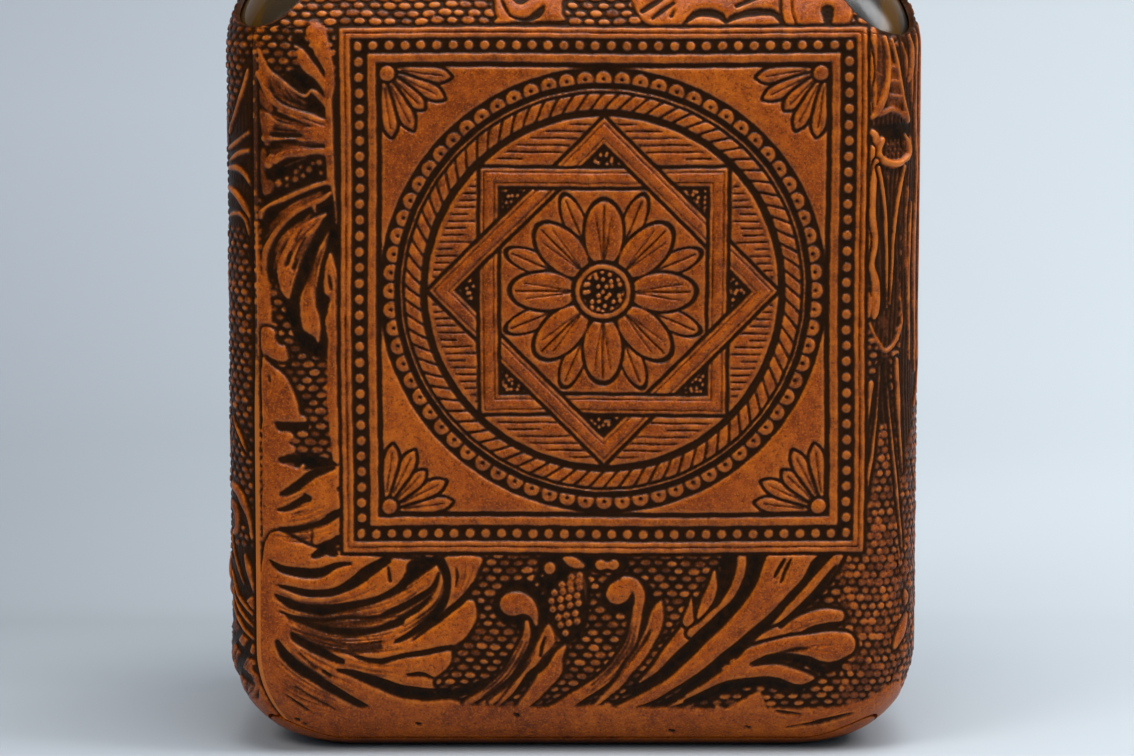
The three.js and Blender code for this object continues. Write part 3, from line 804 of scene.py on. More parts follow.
def centreScrolls(board):  # two volutes with a bunch of berries between them
    footB, footC = sheetsOn(board, "footB", "footC")
    hollow(footB, [(1040, 330), (1200, 310), (1330, 400), (1380, 560), (1340, 760), (1200, 960),
                   (1000, 1140), (960, 1080), (1120, 860), (1140, 680), (1000, 640), (920, 500)])
    lay(footB, [(1080, 490, 96), (1100, 486, 100), (1150, 480, 92), (1210, 500, 72), (1262, 560, 44),
                (1290, 660, 12)])
    cut(footB, [(1200, 640, 26), (1160, 606, 10)])
    lay(footB, [(1212, 640, 22), (1212, 740, 34), (1150, 880, 40), (1040, 1040, 36), (880, 1170, 34),
                (700, 1275, 30)], moat=0.4)
    for offset in (-22, 18):
        cut(footB, [(1190 + offset, 800, 5), (1110 + offset, 950, 7), (980 + offset, 1100, 6),
                    (840, 1200 + offset, 5)], depth=0.75)
    lay(footB, [(1390, 640, 8), (1330, 760, 26), (1250, 930, 30), (1120, 1110, 34),
                (900, 1270, 24)], moat=0.25)
    cut(footB, [(1300, 690, 12), (1285, 860, 15), (1190, 1030, 14), (1040, 1180, 8)])
    hollow(footC, [(120, 90), (300, 60), (760, 70), (780, 210), (480, 220), (500, 330), (490, 520),
                   (450, 700), (330, 800), (250, 780), (190, 640), (110, 520), (110, 380), (60, 420),
                   (20, 330), (60, 200)])
    dots(footC, [(160, 190, 52), (95, 252, 14), (55, 328, 16)], level=1.0)
    lay(footC, [(280, 110, 18), (350, 140, 46), (425, 165, 26)],
               [(580, 160, 46), (640, 165, 28), (690, 158, 46)], moat=0.5)
    berryRows = ((340, 2), (262, 3), (200, 4), (180, 4), (190, 4), (235, 3), (255, 3), (295, 1))
    for row, (start, count) in enumerate(berryRows):
        for i in range(count):
            berry = (start + 70 * i, 262 + row * 66 - 16 * i)
            dots(footC, [(*berry, 31)], level=1.0)
            cut(footC, [(berry[0] - 6, berry[1] + 4, 5), (berry[0] - 2, berry[1] + 8, 6)], depth=0.5)
    lay(footC, [(330, 215, 8), (410, 240, 16), (452, 330, 15), (462, 450, 8)], level=0.7)
    mass(footC, [(150, 645), (215, 780), (150, 880), (90, 935), (0, 1060), (-120, 1180), (-260, 1290),
                 (-330, 1330), (-200, 1180), (-80, 1030), (20, 880), (80, 770)], moat=0.3)
    cut(footC, [(130, 755, 8), (105, 830, 12), (85, 910, 10)])
    mass(footC, [(305, 815), (275, 930), (262, 1040), (150, 1160), (0, 1290), (-120, 1380), (-180, 1380),
                 (-60, 1220), (20, 1110), (150, 930)], moat=0.55)
    cut(footC, [(-140, 1210, 12), (0, 1055, 30), (110, 975, 28), (215, 860, 12)])
    hollow(footC, [(600, 320), (700, 230), (860, 240), (1000, 340), (1010, 480), (960, 700), (860, 860),
                   (800, 820), (830, 640), (760, 560), (640, 540), (590, 440)])
    lay(footC, [(780, 290, 40), (860, 320, 48), (912, 410, 46), (892, 540, 42), (880, 640, 44),
                (840, 800, 46), (740, 960, 50), (600, 1090, 54), (430, 1190, 56), (260, 1300, 60),
                (100, 1370, 50)], moat=0.5)
    lay(footC, [(722, 395, 92), (734, 384, 98), (752, 366, 92)])
    cut(footC, [(800, 520, 22), (836, 452, 14), (842, 420, 6)])
    for offset in (-16, 20):
        cut(footC, [(870 + offset, 640, 5), (820 + offset, 820, 7), (700 + offset, 980, 7),
                    (520, 1140 + offset, 6)], depth=0.7)
    mass(footC, [(1090, 450), (1112, 560), (1090, 700), (980, 900), (850, 1040), (770, 1130), (700, 1190),
                 (560, 1290), (480, 1330), (600, 1210), (700, 1110), (790, 980), (880, 860), (960, 700),
                 (1000, 560)], moat=0.6)
    cut(footC, [(1012, 690, 5), (980, 760, 9), (940, 830, 5)])
    for i in range(3):
        cut(footC, [(650 + 40 * i, 1235 - 32 * i, 10), (668 + 40 * i, 1258 - 32 * i, 6)], depth=0.8)


def risingLeaves(board):  # the straps and lobes that rise towards the right
    [footD] = sheetsOn(board, "footD")
    lay(footD, [(1040, 75, 30), (950, 200, 48), (850, 310, 52), (740, 410, 42), (640, 500, 24),
                (560, 580, 10)], moat=0.55)
    lay(footD, [(1045, 490, 42), (940, 490, 54), (820, 530, 58), (700, 590, 58), (560, 650, 58),
                (400, 760, 50)],
               [(1080, 680, 86), (980, 700, 106), (850, 690, 80), (700, 690, 60), (560, 720, 60),
                (440, 760, 68)], moat=0.5)
    lay(footD, [(870, 890, 16), (770, 890, 52), (640, 850, 48), (480, 850, 42), (300, 880, 42),
                (120, 960, 35), (0, 1020, 22), (-150, 1080, 10)], moat=0.55)
    lay(footD, [(440, 760, 58), (300, 850, 45), (150, 930, 30), (0, 1000, 18)])
    cut(footD, [(785, 605, 5), (880, 570, 18), (1000, 550, 15), (1085, 535, 8)])
    cut(footD, [(620, 740, 4), (750, 715, 9), (850, 705, 4)], depth=0.85)
    cut(footD, [(440, 800, 10), (560, 770, 25), (700, 765, 28), (820, 790, 30), (930, 840, 28),
                (1050, 820, 18)],
               [(0, 1040, 22), (150, 990, 40), (300, 940, 44), (450, 915, 32), (560, 915, 28),
                (660, 950, 30), (780, 960, 24)])
    lay(footD, [(720, 80, 170), (620, 250, 140), (480, 430, 105), (320, 600, 85), (150, 735, 74),
                (60, 800, 64), (-99, 900, 54), (-265, 1000, 44), (-471, 1082, 28)], moat=0.5)
    cut(footD, [(950, 80, 6), (880, 120, 24), (800, 260, 24), (690, 370, 22), (600, 480, 28),
                (480, 590, 34), (380, 680, 38), (250, 770, 38), (100, 880, 36), (0, 950, 25),
                (-57, 1000, 22), (-223, 1074, 18), (-347, 1115, 8)],
               [(1020, 150, 10), (930, 270, 20), (860, 365, 26), (760, 450, 20), (640, 560, 15)],
               [(660, 100, 8), (620, 170, 12), (590, 225, 6)],
               [(705, 100, 6), (672, 170, 10), (640, 260, 8)])
    lay(footD, [(175, 185, 12), (155, 330, 44), (100, 440, 58), (20, 560, 58), (-100, 690, 44),
                (-230, 830, 28), (-330, 910, 10)], moat=0.5)
    lay(footD, [(16, 364, 8), (8, 440, 24), (0, 520, 40)],
               [(365, 75, 35), (355, 190, 33), (310, 310, 35), (220, 430, 40), (120, 530, 36),
                (20, 600, 30)], moat=0.4)
    cut(footD, [(470, 90, 44), (420, 260, 44), (330, 400, 38), (200, 520, 38), (82, 640, 46),
                (-57, 775, 44), (-198, 888, 34), (-347, 958, 28), (-430, 985, 10)],
               [(270, 80, 44), (250, 240, 38), (200, 380, 24), (150, 440, 10)])
    cut(footD, [(95, 300, 10), (70, 400, 12), (50, 470, 6)], depth=0.8)
    mass(footD, [(200, 1060), (270, 1080), (400, 1020), (490, 975), (525, 1010), (540, 1110), (400, 1180),
                 (200, 1160)])


def plainBand(board):  # the smooth strip above the hem
    footA, footB, footC, footD = sheetsOn(board, "footA", "footB", "footC", "footD")
    edge = drawn(footB, [(-1100, 1250), (-700, 1330), (-300, 1330), (0, 1275), (500, 1275), (900, 1290),
                         (1250, 1300), (1700, 1280), (2200, 1295), (2570, 1300), (2760, 1315), (3150, 1310),
                         (3700, 1320), (4044, 1260), (4347, 1110)])
    limit = np.interp(board["s"], edge[:, 0], edge[:, 1])
    raiseShape(board, wholeBoard, board["t"] - limit, 0.96, 0.8)
    for sheet, x, y, radius in ((footA, 510, 1410, 20), (footA, 580, 1450, 12), (footA, 630, 1485, 10),
                                (footB, 1110, 1370, 22), (footB, 280, 1455, 20), (footC, 1190, 1520, 22),
                                (footD, 420, 1225, 14)):
        cut(sheet, [(x - 8, y - 4, radius * 0.7), (x + 12, y + 6, radius)], depth=0.9)
    cut(footD, [(700, 1230, 7), (850, 1205, 11), (950, 1180, 20), (1070, 1150, 16), (1160, 1128, 8)],
               [(620, 1110, 8), (700, 1120, 10), (790, 1130, 6)], depth=0.85)


def frontShoulder(board):
    left, right = sheetsOn(board, "scrollTop", "shoulderRight")
    mass(left, [(470, -300), (1065, -300), (1062, 100), (1085, 190), (760, 205), (480, 212), (500, 160),
                (478, 60)], moat=0.5)
    cut(left, [(530, -160, 10), (540, 0, 9), (560, 60, 11), (590, 120, 9), (612, 150, 6)],
              [(612, 152, 10), (690, 180, 14), (770, 178, 20), (840, 140, 32), (890, 92, 26), (905, 60, 8)],
              [(655, -10, 22), (700, 10, 38), (752, -2, 26)],
              [(800, -40, 14), (930, -120, 26), (960, -260, 14)])
    mass(right, [(360, -80), (960, -80), (945, 110), (720, 118), (540, 112), (360, 95)], moat=0.3)
    cut(right, [(355, 50, 10), (420, 5, 10), (470, -40, 8)])
    cut(right, [(400, 80, 7), (450, 40, 9), (490, 12, 7)], [(480, 72, 8), (490, 50, 7)], depth=0.9)
    cut(right, [(530, 105, 4), (590, 58, 16), (680, 62, 17), (715, 96, 6)],
               [(715, 96, 6), (760, 70, 14), (850, 52, 17), (920, 58, 13), (950, 95, 8)],
               [(760, 25, 8), (830, -5, 10), (900, -30, 8)])
    lay(right, [(990, -60, 30), (985, 40, 30), (1000, 125, 24)], moat=0.4)
    mass(right, [(1020, -60), (1240, -60), (1230, 130), (1030, 125)], moat=0.3)
    cut(right, [(1150, 50, 26), (1152, 140, 8)])
    upperShoulder(board)


def upperShoulder(board):  # above the photo's edge: a palmette between two scrolls, closing in on the neck
    for lean, reach in ((0, 13.0), (27, 12.4), (54, 11.0), (80, 9.0)):
        for turn in {lean, -lean}:
            way = np.array([math.sin(math.radians(turn)), math.cos(math.radians(turn))])
            root = np.array([0, 133.4])
            leaf(board, [(*(root + way * 2.4), 0.3), (*(root + way * reach * 0.62), 1.5),
                         (*(root + way * reach), 0.25)], 0.6)
            vein(board, [(*(root + way * 3.4), 0.12), (*(root + way * reach * 0.86), 0.1)])
    for turn in (-1, 1):
        for line in ([(1.6, 131.6, 0.5), (7, 130.4, 0.9), (13.5, 131.6, 1.1), (17.5, 135.4, 1.1),
                      (16.6, 139.8, 0.9), (13.6, 139.6, 0.8), (13.2, 137.4, 0.9)],
                     [(18.6, 131.4, 0.3), (21.6, 134.6, 1.1), (20.6, 140.6, 0.3)]):
            leaf(board, turnedTo(turn, line), 0.6)
    ball(board, 0, 133.0, 1.8)


def striped(board, area):  # fine upright ridges in the dark
    way = board["s"][area] + 0.35 * np.sin(board["t"][area] * 0.22)
    return 0.31 + 0.27 * np.sin(way * 2 * math.pi / 0.92)


def cornerOrnament(board, centre):  # a ladder over a cup and a fluted skirt, drawn on the corner line
    top, middle, low = sheetsOn(board, "cornerTop", "cornerMiddle", "cornerLow")
    shift = centre - (frontRun + halfArc)

    def put(sheet, *lines, raised=True, moat=0.0, level=1.0):
        for line in lines:
            placed = drawn(sheet, line)
            placed[:, 0] += shift
            area, distance = strokeDistance(board, placed)
            if raised:
                raiseShape(board, area, distance, level, moat=moat)
            else:
                fillGround(board, area, distance, striped(board, area) * level)

    put(top, [(260, 150, 70), (330, 350, 130), (360, 600, 160), (330, 860, 170), (370, 1140, 150)],
             [(480, 200, 60), (520, 600, 60), (560, 900, 60)], raised=False)
    put(middle, [(360, -320, 160), (350, 0, 170), (350, 700, 160), (350, 1100, 150),
                 (350, 1380, 80)], raised=False)
    for i in range(9):
        put(top, [(195 + 6 * i, 300 + 52 * i, 5), (300 - 3 * i, 240 + 55 * i, 6)], level=0.55)
    put(top, [(240, 120, 60), (262, 326, 62), (250, 506, 64), (240, 640, 56), (200, 780, 44)], level=0.5)
    put(top, [(205, 100, 34), (214, 326, 30), (192, 506, 36), (214, 640, 30), (190, 790, 40)], level=1.05)
    put(top, [(262, 140, 9), (285, 330, 10), (270, 520, 10), (240, 680, 8)], level=0.8)
    put(top, [(300, 160, 7), (318, 330, 8), (304, 520, 8)], level=0.7)
    put(top, [(560, 180, 20), (577, 300, 34), (570, 450, 30), (540, 560, 14)], level=1.1)
    put(top, [(110, 120, 34), (160, 300, 30), (172, 450, 30), (150, 620, 36),
              (150, 800, 40)], moat=0.3, level=1.5)
    put(top, [(345, 260, 18), (385, 460, 42), (410, 620, 58), (415, 760, 74)], level=0.62)
    put(top, [(310, 170, 22), (345, 350, 22), (340, 520, 25), (300, 690, 34), (240, 810, 32),
              (180, 860, 20)],
             [(375, 190, 18), (430, 400, 20), (465, 580, 21), (500, 750, 22), (540, 900, 24)], level=1.2)
    put(top, [(350, 425, 13), (430, 430, 13)], [(350, 545, 14), (460, 550, 14)],
             [(355, 670, 18), (480, 680, 17)], [(270, 830, 24), (390, 790, 25), (530, 870, 28)])
    put(top, [(480, 220, 15), (520, 350, 24), (520, 500, 18)], level=0.9)
    put(top, [(250, 985, 60), (420, 985, 66), (540, 985, 60)], raised=False, level=0.1)
    put(top, [(190, 985, 26), (225, 1010, 36), (235, 1080, 30), (215, 1130, 26)], level=1.2)
    put(top, [(290, 1050, 28), (250, 1150, 34), (300, 1230, 32), (420, 1262, 32), (530, 1210, 28),
              (545, 1100, 22), (515, 1020, 12)], level=1.4)
    for i in range(12):
        x, y = 340 + 52 * (i % 4) + 20 * (i // 4 % 2), 1090 + 42 * (i // 4)
        put(top, [(x, y, 10), (x + 14, y + 8, 10)], level=0.95)
    put(top, [(190, 1130, 34), (175, 1300, 32), (150, 1400, 36), (125, 1520, 30)], moat=0.3, level=1.45)
    put(top, [(345, 1330, 8), (370, 1568, 8)], [(450, 1330, 9), (425, 1568, 9)],
             [(560, 1300, 9), (548, 1568, 11)])
    put(middle, [(235, -241, 30), (215, -17, 32), (210, 208, 34), (230, 376, 38), (238, 489, 30),
                 (215, 657, 30), (250, 825, 40), (255, 1050, 36), (240, 1120, 20)], moat=0.3, level=1.2)
    put(middle, [(256, -191, 18), (305, 0, 18), (335, 250, 17), (350, 500, 15), (358, 800, 13),
                 (362, 1040, 9)],
                [(505, -191, 17), (465, 0, 19), (430, 250, 17), (410, 500, 15), (400, 800, 13),
                 (388, 1010, 9)], moat=0.35, level=1.3)
    put(middle, [(545, 0, 14), (530, 350, 14), (535, 600, 14), (560, 900, 14)],
                [(475, 800, 9), (495, 1000, 12), (505, 1170, 18)],
                [(195, 1170, 13), (250, 1290, 20), (310, 1390, 24), (350, 1420, 22), (420, 1370, 22),
                 (480, 1260, 22), (505, 1150, 18)])
    put(middle, [(125, 0, 32), (130, 250, 34), (165, 420, 30), (150, 600, 30),
                 (130, 720, 24)], moat=0.3, level=1.4)
    for x in (230, 270, 480):
        put(middle, [(x, 60, 7), (x + 8, 500, 8), (x + 4, 1000, 6)], level=0.5)
    put(middle, [(180, 930, 30), (185, 1000, 44), (180, 1100, 30)])
    put(middle, [(330, 1150, 40), (350, 1260, 36)], level=0.6)
    put(low, [(300, 60, 60), (290, 250, 60), (290, 480, 50)], raised=False, level=0.9)
    put(low, [(416, 2272, 26), (473, 2162, 58), (517, 2041, 24)],
             [(505, 1850, 16), (514, 1905, 40), (508, 1960, 18)], moat=0.4)
    put(low, [(265, 60, 8), (250, 300, 10), (220, 600, 13), (190, 800, 19), (140, 1050, 23),
              (110, 1190, 14)],
             [(330, 240, 9), (345, 400, 11), (370, 650, 14), (400, 900, 17), (430, 1150, 16),
              (470, 1500, 13)], [(410, 20, 22), (420, 300, 26), (440, 600, 18), (470, 900, 11)],
             [(190, 200, 28), (160, 400, 24), (130, 650, 19), (115, 850, 9)], moat=0.45)


def borderFoliage(board):
    pebbles(board, (-58, 0), (58, 156))
    pebbles(board, (44.6, 0), (58, 62), roundGround)
    pebbles(board, (-58, 121.6), (58, 156), shoulderGround)
    for motif in (fanLeaf, droopingLeaves, leftLeaves, sweepingLeaf, centreScrolls, risingLeaves, leafFlow,
                  plainBand, frontShoulder):
        motif(board)
    cornerOrnament(board, frontRun + halfArc)


frontBoard = newBoard(58, 0, 156, 0.16)
borderFoliage(frontBoard)
geometricPanel(frontBoard)
print("front tooled")


# The sides and the back: leafy branches on the same beaded ground
def frond(board, points, length, spacing, lean, plump):  # a stem with paired lobes that shorten to its tip
    curve = smoothPath(points)
    way = np.concatenate([[0], np.cumsum(np.hypot(*np.diff(curve[:, :2], axis=0).T))])
    for distance in np.arange(spacing * 0.6, way[-1] - 0.3 * length, spacing):
        i = min(int(np.searchsorted(way, distance)), len(curve) - 2)
        tangent = curve[i + 1, :2] - curve[i, :2]
        tangent /= max(np.hypot(*tangent), 1e-6)
        reach = length * (1 - 0.55 * distance / way[-1])
        for side in (-1, 1):
            turn = math.radians(lean) * side
            out = np.array([tangent[0] * math.cos(turn) - tangent[1] * math.sin(turn),
                            tangent[0] * math.sin(turn) + tangent[1] * math.cos(turn)])
            root = curve[i, :2]
            tip = root + (out * 0.75 + tangent * 0.35) * reach
            leaf(board, [(*root, 0.3), (*(root + out * 0.5 * reach), plump * reach), (*tip, 0.15)], 0.5)
            vein(board, [(*(root + out * 0.2 * reach), 0.12), (*(root + out * 0.75 * reach), 0.1)])
    leaf(board, points, 0.35)


def sideTooling(board):
    for half in (board, flipped(board)):
        foot = shifted(half, 15.0)
        sweepingLeaf(foot)
        leafFlow(foot)
    area = windowOf(board, (-38, 33), (38, 180))
    ground = newBoard(38, 0, 180)
    pebbles(ground, (-38, 0), (38, 180))
    board["relief"][area] = ground["relief"][area]
    for low in (33.0, 35.4):
        bar(board, (-24, low), (24, low + 1.3), moat=0.6)
    stem = [(0, 40, 1.2), (0.8, 57, 1.1), (-0.8, 78, 1.0), (0.4, 98, 0.8), (0, 117, 0.4)]
    frond(board, stem, 13.5, 9.0, 44, 0.24)
    ball(board, 0, 41.0, 3.0)
    ball(board, 0, 119.5, 1.8)
    for up in (45, 71, 97):
        branch = [(1.5, up, 0.7), (8.5, up + 4.0, 1.2), (15.5, up + 1.0, 1.4), (19.6, up + 7.0, 1.3),
                  (16.4, up + 13.0, 1.2), (12.0, up + 10.4, 1.0), (13.4, up + 7.4, 0.9)]
        for path in (branch, turnedTo(-1, branch)):
            frond(board, path, 6.4, 5.2, 50, 0.22)
            ball(board, path[-1][0], path[-1][1], 1.6, 0.4)
    for up in (127, 138, 149):
        bud = [(0, up, 0.9), (5.0, up + 2.6, 1.7), (7.0, up + 7.4, 0.5)]
        for path in (bud, turnedTo(-1, bud)):
            leaf(board, path)
            vein(board, [(across * 0.9 + 0.1, rise, 0.12) for across, rise, half in path])
        ball(board, 0, up + 6.4, 1.6)


def edgeBeads(board, top):  # rounder beads beside the corners, as on the face next to it
    for low, high in ((-38.0, -22.0), (22.0, 38.0)):
        pebbles(board, (low, 0), (high, top), roundGround)


def seamStrip(board):  # what shows beside the lap at the front left corner
    for low, high in ((26.5, 34.5), (88.0, 112.5)):
        area = windowOf(board, (25, low - 2), (38, high + 2))
        s, t = board["s"][area], board["t"][area]
        ridge = np.where(t > 80, s - 28.6 - (t - 103.7) * 0.58, s - 27.0)
        inside = np.maximum(np.maximum(low - t, t - high), -ridge)
        fillGround(board, area, inside, 0.7 * striped(board, area))
    for line in ([(34.6, 114.0, 0.45), (32.5, 109.6, 0.5), (30.4, 106.3, 0.5), (28.2, 103.6, 0.5)],
                 [(27.5, 100.8, 0.4), (31.5, 102.3, 0.45), (35.6, 104.4, 0.35)],
                 [(27.5, 98.6, 0.3), (31.5, 100.2, 0.5), (35.6, 101.0, 0.4)],
                 [(27.0, 97.6, 0.4), (31.0, 97.8, 0.6), (33.4, 96.8, 0.5), (35.0, 95.0, 0.3)],
                 [(27.0, 94.4, 0.5), (30.5, 93.6, 0.7), (33.0, 91.8, 0.7), (34.8, 88.6, 0.45),
                  (35.2, 83.0, 0.2)],
                 [(27.0, 89.6, 0.3), (31.0, 90.4, 0.45), (33.4, 89.4, 0.4), (34.4, 87.0, 0.25)],
                 [(28.6, 56.4, 0.3), (31.4, 53.4, 0.45), (33.2, 51.0, 0.3)],
                 [(28.0, 44.8, 0.8), (31.0, 43.6, 0.95), (33.2, 40.2, 0.9), (34.4, 36.4, 0.4)],
                 [(27.6, 41.6, 1.0), (29.8, 40.6, 0.95), (29.9, 37.6, 0.8), (28.2, 36.6, 0.5)],
                 [(32.6, 33.2, 0.4), (33.6, 31.0, 0.75), (34.8, 27.2, 0.3)],
                 [(27.2, 36.2, 0.35), (29.2, 32.4, 0.4), (32.0, 28.4, 0.25)],
                 [(27.2, 29.8, 0.35), (30.6, 26.0, 0.45), (34.6, 23.4, 0.3)],
                 [(27.4, 27.4, 0.3), (30.8, 23.8, 0.4), (35.0, 21.2, 0.3)],
                 [(27.6, 24.8, 0.4), (31.0, 21.6, 0.45), (35.2, 19.0, 0.35)]):
        leaf(board, line, 0.45)
    for line in ([(28.0, 42.6, 0.25), (30.6, 41.6, 0.2), (31.2, 38.8, 0.2)],
                 [(29.6, 43.0, 0.15), (32.6, 40.2, 0.2), (33.8, 37.4, 0.12)],
                 [(28.4, 19.0, 0.7), (31.5, 17.0, 0.75), (35.0, 16.0, 0.35)],
                 [(34.4, 14.0, 0.7), (35.0, 13.6, 0.6)], [(29.6, 12.6, 1.2), (31.6, 12.0, 1.2)],
                 [(34.8, 10.6, 0.7), (35.2, 9.6, 0.5)]):
        area, distance = strokeDistance(board, line)
        cutShape(board, area, distance)


lattice = {"pitch": 14.5, "strap": 1.15, "petalReach": 3.3, "petalMiddle": 3.4, "petalNarrow": 1.5}


def latticePanel(board):  # crossed straps in the same frame, with a four-petalled flower in each opening
    area, x, y, inside, along = panelArea(board)
    fillGround(board, area, inside + moulding["width"], 0.9 * grainGround(board, area, 1.0, 61))
    u, v = [turned / math.sqrt(2) / lattice["pitch"] for turned in (x + y, x - y)]
    offU, offV = [(way - np.floor(way) - 0.5) * lattice["pitch"] for way in (u, v)]
    distance, angle = np.hypot(offU, offV), np.arctan2(offV, offU)
    middle, narrow = lattice["petalMiddle"], lattice["petalNarrow"]
    beside, outer = petalShape(distance, angle, math.pi / 2, 0.0, middle, narrow)
    outer -= lattice["petalReach"]
    outside = inside > -6.4
    raiseShape(board, area, np.where(outside, 2.0, outer / 1.2), moat=0.5)
    cutShape(board, area, np.where(outside | (outer > -0.6), 2.0, beside - 0.12), 0.9, 0.32)
    raiseShape(board, area, np.where(outside, 2.0, distance - 1.5), moat=0.5)
    over = (np.floor(u + 0.5) + np.floor(v + 0.5)) % 2 == 0
    wayU, wayV = [np.abs(way - np.round(way)) * lattice["pitch"] for way in (u, v)]
    gap = lattice["strap"] + 0.5
    for mine, other, hidden in ((wayU, wayV, ~over), (wayV, wayU, over)):
        under = hidden & (other < gap)
        raiseShape(board, area, np.where(under | outside, 2.0, mine - lattice["strap"]), moat=0.5)
        cutShape(board, area, np.where(under | outside, 2.0, np.abs(mine - 0.55) - 0.09), 0.7, 0.3)
    mouldedFrame(board, area, inside, along)


def shifted(board, across):  # the same board, drawn on from another middle
    return {**board, "s": board["s"] - across, "low": (board["low"][0] - across, board["low"][1])}


def flipped(board):
    return {**board, "relief": board["relief"][:, ::-1]}


def rightCorners(board):  # ridges and grooves that lead round to the fluted skirt
    edgeBeads(board, 60)
    for side in (-1, 1):
        foot = [(21.8, 6.0, 0.4), (22.2, 18.0, 0.6), (21.8, 30.0, 0.6), (22.2, 36.0, 0.3)]
        leaf(board, turnedTo(side, foot), 0.4)
        outline = [(23.4, 122), (22.6, 108), (23.2, 90), (22.8, 76), (24.6, 66), (28.0, 58), (33.0, 50),
                   (37.6, 50), (37.6, 122)]
        area, beside = insideCurve(board, turnedTo(side, outline))
        board["relief"][area] = lerp(board["relief"][area], striped(board, area), beside)
        for line in ([(23.6, 121.4, 0.5), (22.7, 108, 0.7), (23.3, 90, 0.6), (22.9, 76, 0.7), (24.8, 66, 0.6),
                      (28.4, 58, 0.35)],
                     [(28.4, 121.0, 0.5), (29.4, 108.0, 0.7), (28.2, 97.0, 0.5), (29.2, 84.0, 0.7),
                      (28.0, 64.0, 0.4)],
                     [(31.2, 121.0, 0.4), (30.8, 110.0, 0.5), (31.4, 100.0, 0.4)],
                     [(25.8, 121.0, 0.6), (26.6, 104.0, 0.9), (25.4, 88.0, 0.6), (26.2, 66.0, 0.5)],
                     [(30.6, 92.0, 0.4), (31.2, 80.0, 0.5), (30.4, 66.0, 0.3)]):
            leaf(board, turnedTo(side, line), 0.3)
        cornerOrnament(board, side * (sideRun + halfArc))


rightBoard = newBoard(38, 0, 180)
leftBoard = newBoard(38, 0, 180)
backBoard = newBoard(58, 0, 156)
for board in (rightBoard, leftBoard):
    edgeBeads(board, 62)
    sideTooling(board)
rightCorners(rightBoard)
cornerOrnament(leftBoard, -(sideRun + halfArc))
seamStrip(leftBoard)
borderFoliage(backBoard)
latticePanel(backBoard)
cornerOrnament(backBoard, -(frontRun + halfArc))
for board, rise in ((rightBoard, 3.6), (leftBoard, 0.0)):  # the smooth strip above the hem
    limit = 8.0 + rise * smooth((np.abs(board["s"]) - 22) / 11)
    raiseShape(board, wholeBoard, board["t"] - limit, 0.96, 0.7)


def finishBoard(board):  # rounds the raised work, and keeps what the dye, the stain and painted shade, and the wear and painted highlight follow
    relief = board["relief"]
    near, wide = [int(round(reach / board["pitch"])) for reach in (0.6, 1.2)]
    broad = np.clip(1.15 * soften(soften(soften(relief, near), near), near), 0, 1)
    board["lift"] = soften(relief, 1)
    board["tone"] = broad
    board["wearAndHighlight"] = np.clip(relief - soften(relief, near + 1), 0, 1) * relief
    board["relief"] = np.maximum(relief * (0.4 + 0.6 * broad), 0.5 * soften(soften(relief, wide), wide))


for board in (frontBoard, rightBoard, leftBoard, backBoard):
    finishBoard(board)
print("sides and back tooled")


def boardAt(board, layer, s, t):
    relief = board[layer]
    x = np.clip((s - board["low"][0]) / board["pitch"], 0, relief.shape[1] - 1.001)
    y = np.clip((t - board["low"][1]) / board["pitch"], 0, relief.shape[0] - 1.001)
    i, j = y.astype(int), x.astype(int)
    x, y = x - j, y - i
    return ((relief[i, j] * (1 - x) + relief[i, j + 1] * x) * (1 - y)
            + (relief[i + 1, j] * (1 - x) + relief[i + 1, j + 1] * x) * y)


def worked(s, t):  # a hand's unsteadiness
    across = s + 0.12 * np.sin(0.11 * t + 0.8 * np.sin(0.09 * s)) + 0.035 * np.sin(0.9 * t + 0.7 * s)
    up = t + 0.12 * np.sin(0.10 * s + 0.9 * np.sin(0.08 * t)) + 0.035 * np.sin(1.0 * s - 0.6 * t)
    return across, up


def reliefAt(board, layer, s, t, edges):
    rim, lap, groove = edges
    value = boardAt(board, layer, *worked(s, t))
    value = value * (1 - 0.6 * smooth((0.6 - rim) / 0.5))
    value = np.maximum(value, lerp(0.45, 0.95, smooth((70 - t) / 14)) * smooth((0.95 - lap) / 0.35))
    return value * smooth((groove - 0.3) / 0.7)


def setCoords(piece, points):
    piece.data.vertices.foreach_set("co", (np.asarray(points) * mm).astype(np.float32).ravel())
    piece.data.update()


def setValues(piece, name, values):
    layer = piece.data.attributes.get(name) or piece.data.attributes.new(name, "FLOAT", "POINT")
    layer.data.foreach_set("value", np.asarray(values, np.float32).ravel())


def getValues(piece, name):
    values = np.empty(len(piece.data.vertices), np.float32)
    piece.data.attributes[name].data.foreach_get("value", values)
    return values.astype(float)


def getCoords(piece):
    coords = np.empty(len(piece.data.vertices) * 3, np.float32)
    piece.data.vertices.foreach_get("co", coords)
    return coords.reshape(-1, 3).astype(float) / mm


def pick(piece):
    bpy.ops.object.select_all(action="DESELECT")
    piece.select_set(True)
    bpy.context.view_layer.objects.active = piece


def applyModifier(piece, kind, **settings):
    pick(piece)
    modifier = piece.modifiers.new(kind.lower(), kind)
    for name, value in settings.items():
        setattr(modifier, name, value)
    bpy.ops.object.modifier_apply(modifier=modifier.name)


def thin(piece, most, **settings):  # down to so many triangles
    applyModifier(piece, "DECIMATE", ratio=min(most / (len(piece.data.polygons) * 2), 1.0), **settings)


def smoothShade(piece, degrees):
    pick(piece)
    bpy.ops.object.shade_smooth_by_angle(angle=math.radians(degrees))


def newGrid(name, columns, rows):  # a flat grid that code then lays on its form
    bpy.ops.object.select_all(action="DESELECT")
    bpy.ops.mesh.primitive_grid_add(x_subdivisions=columns - 1, y_subdivisions=rows - 1, size=1)
    piece = bpy.context.object
    piece.name = name
    return piece


def newSheet(name, columns, rows):
    piece = newGrid(name, columns, rows)
    applyModifier(piece, "SOLIDIFY", thickness=0.01, offset=-1)
    return piece


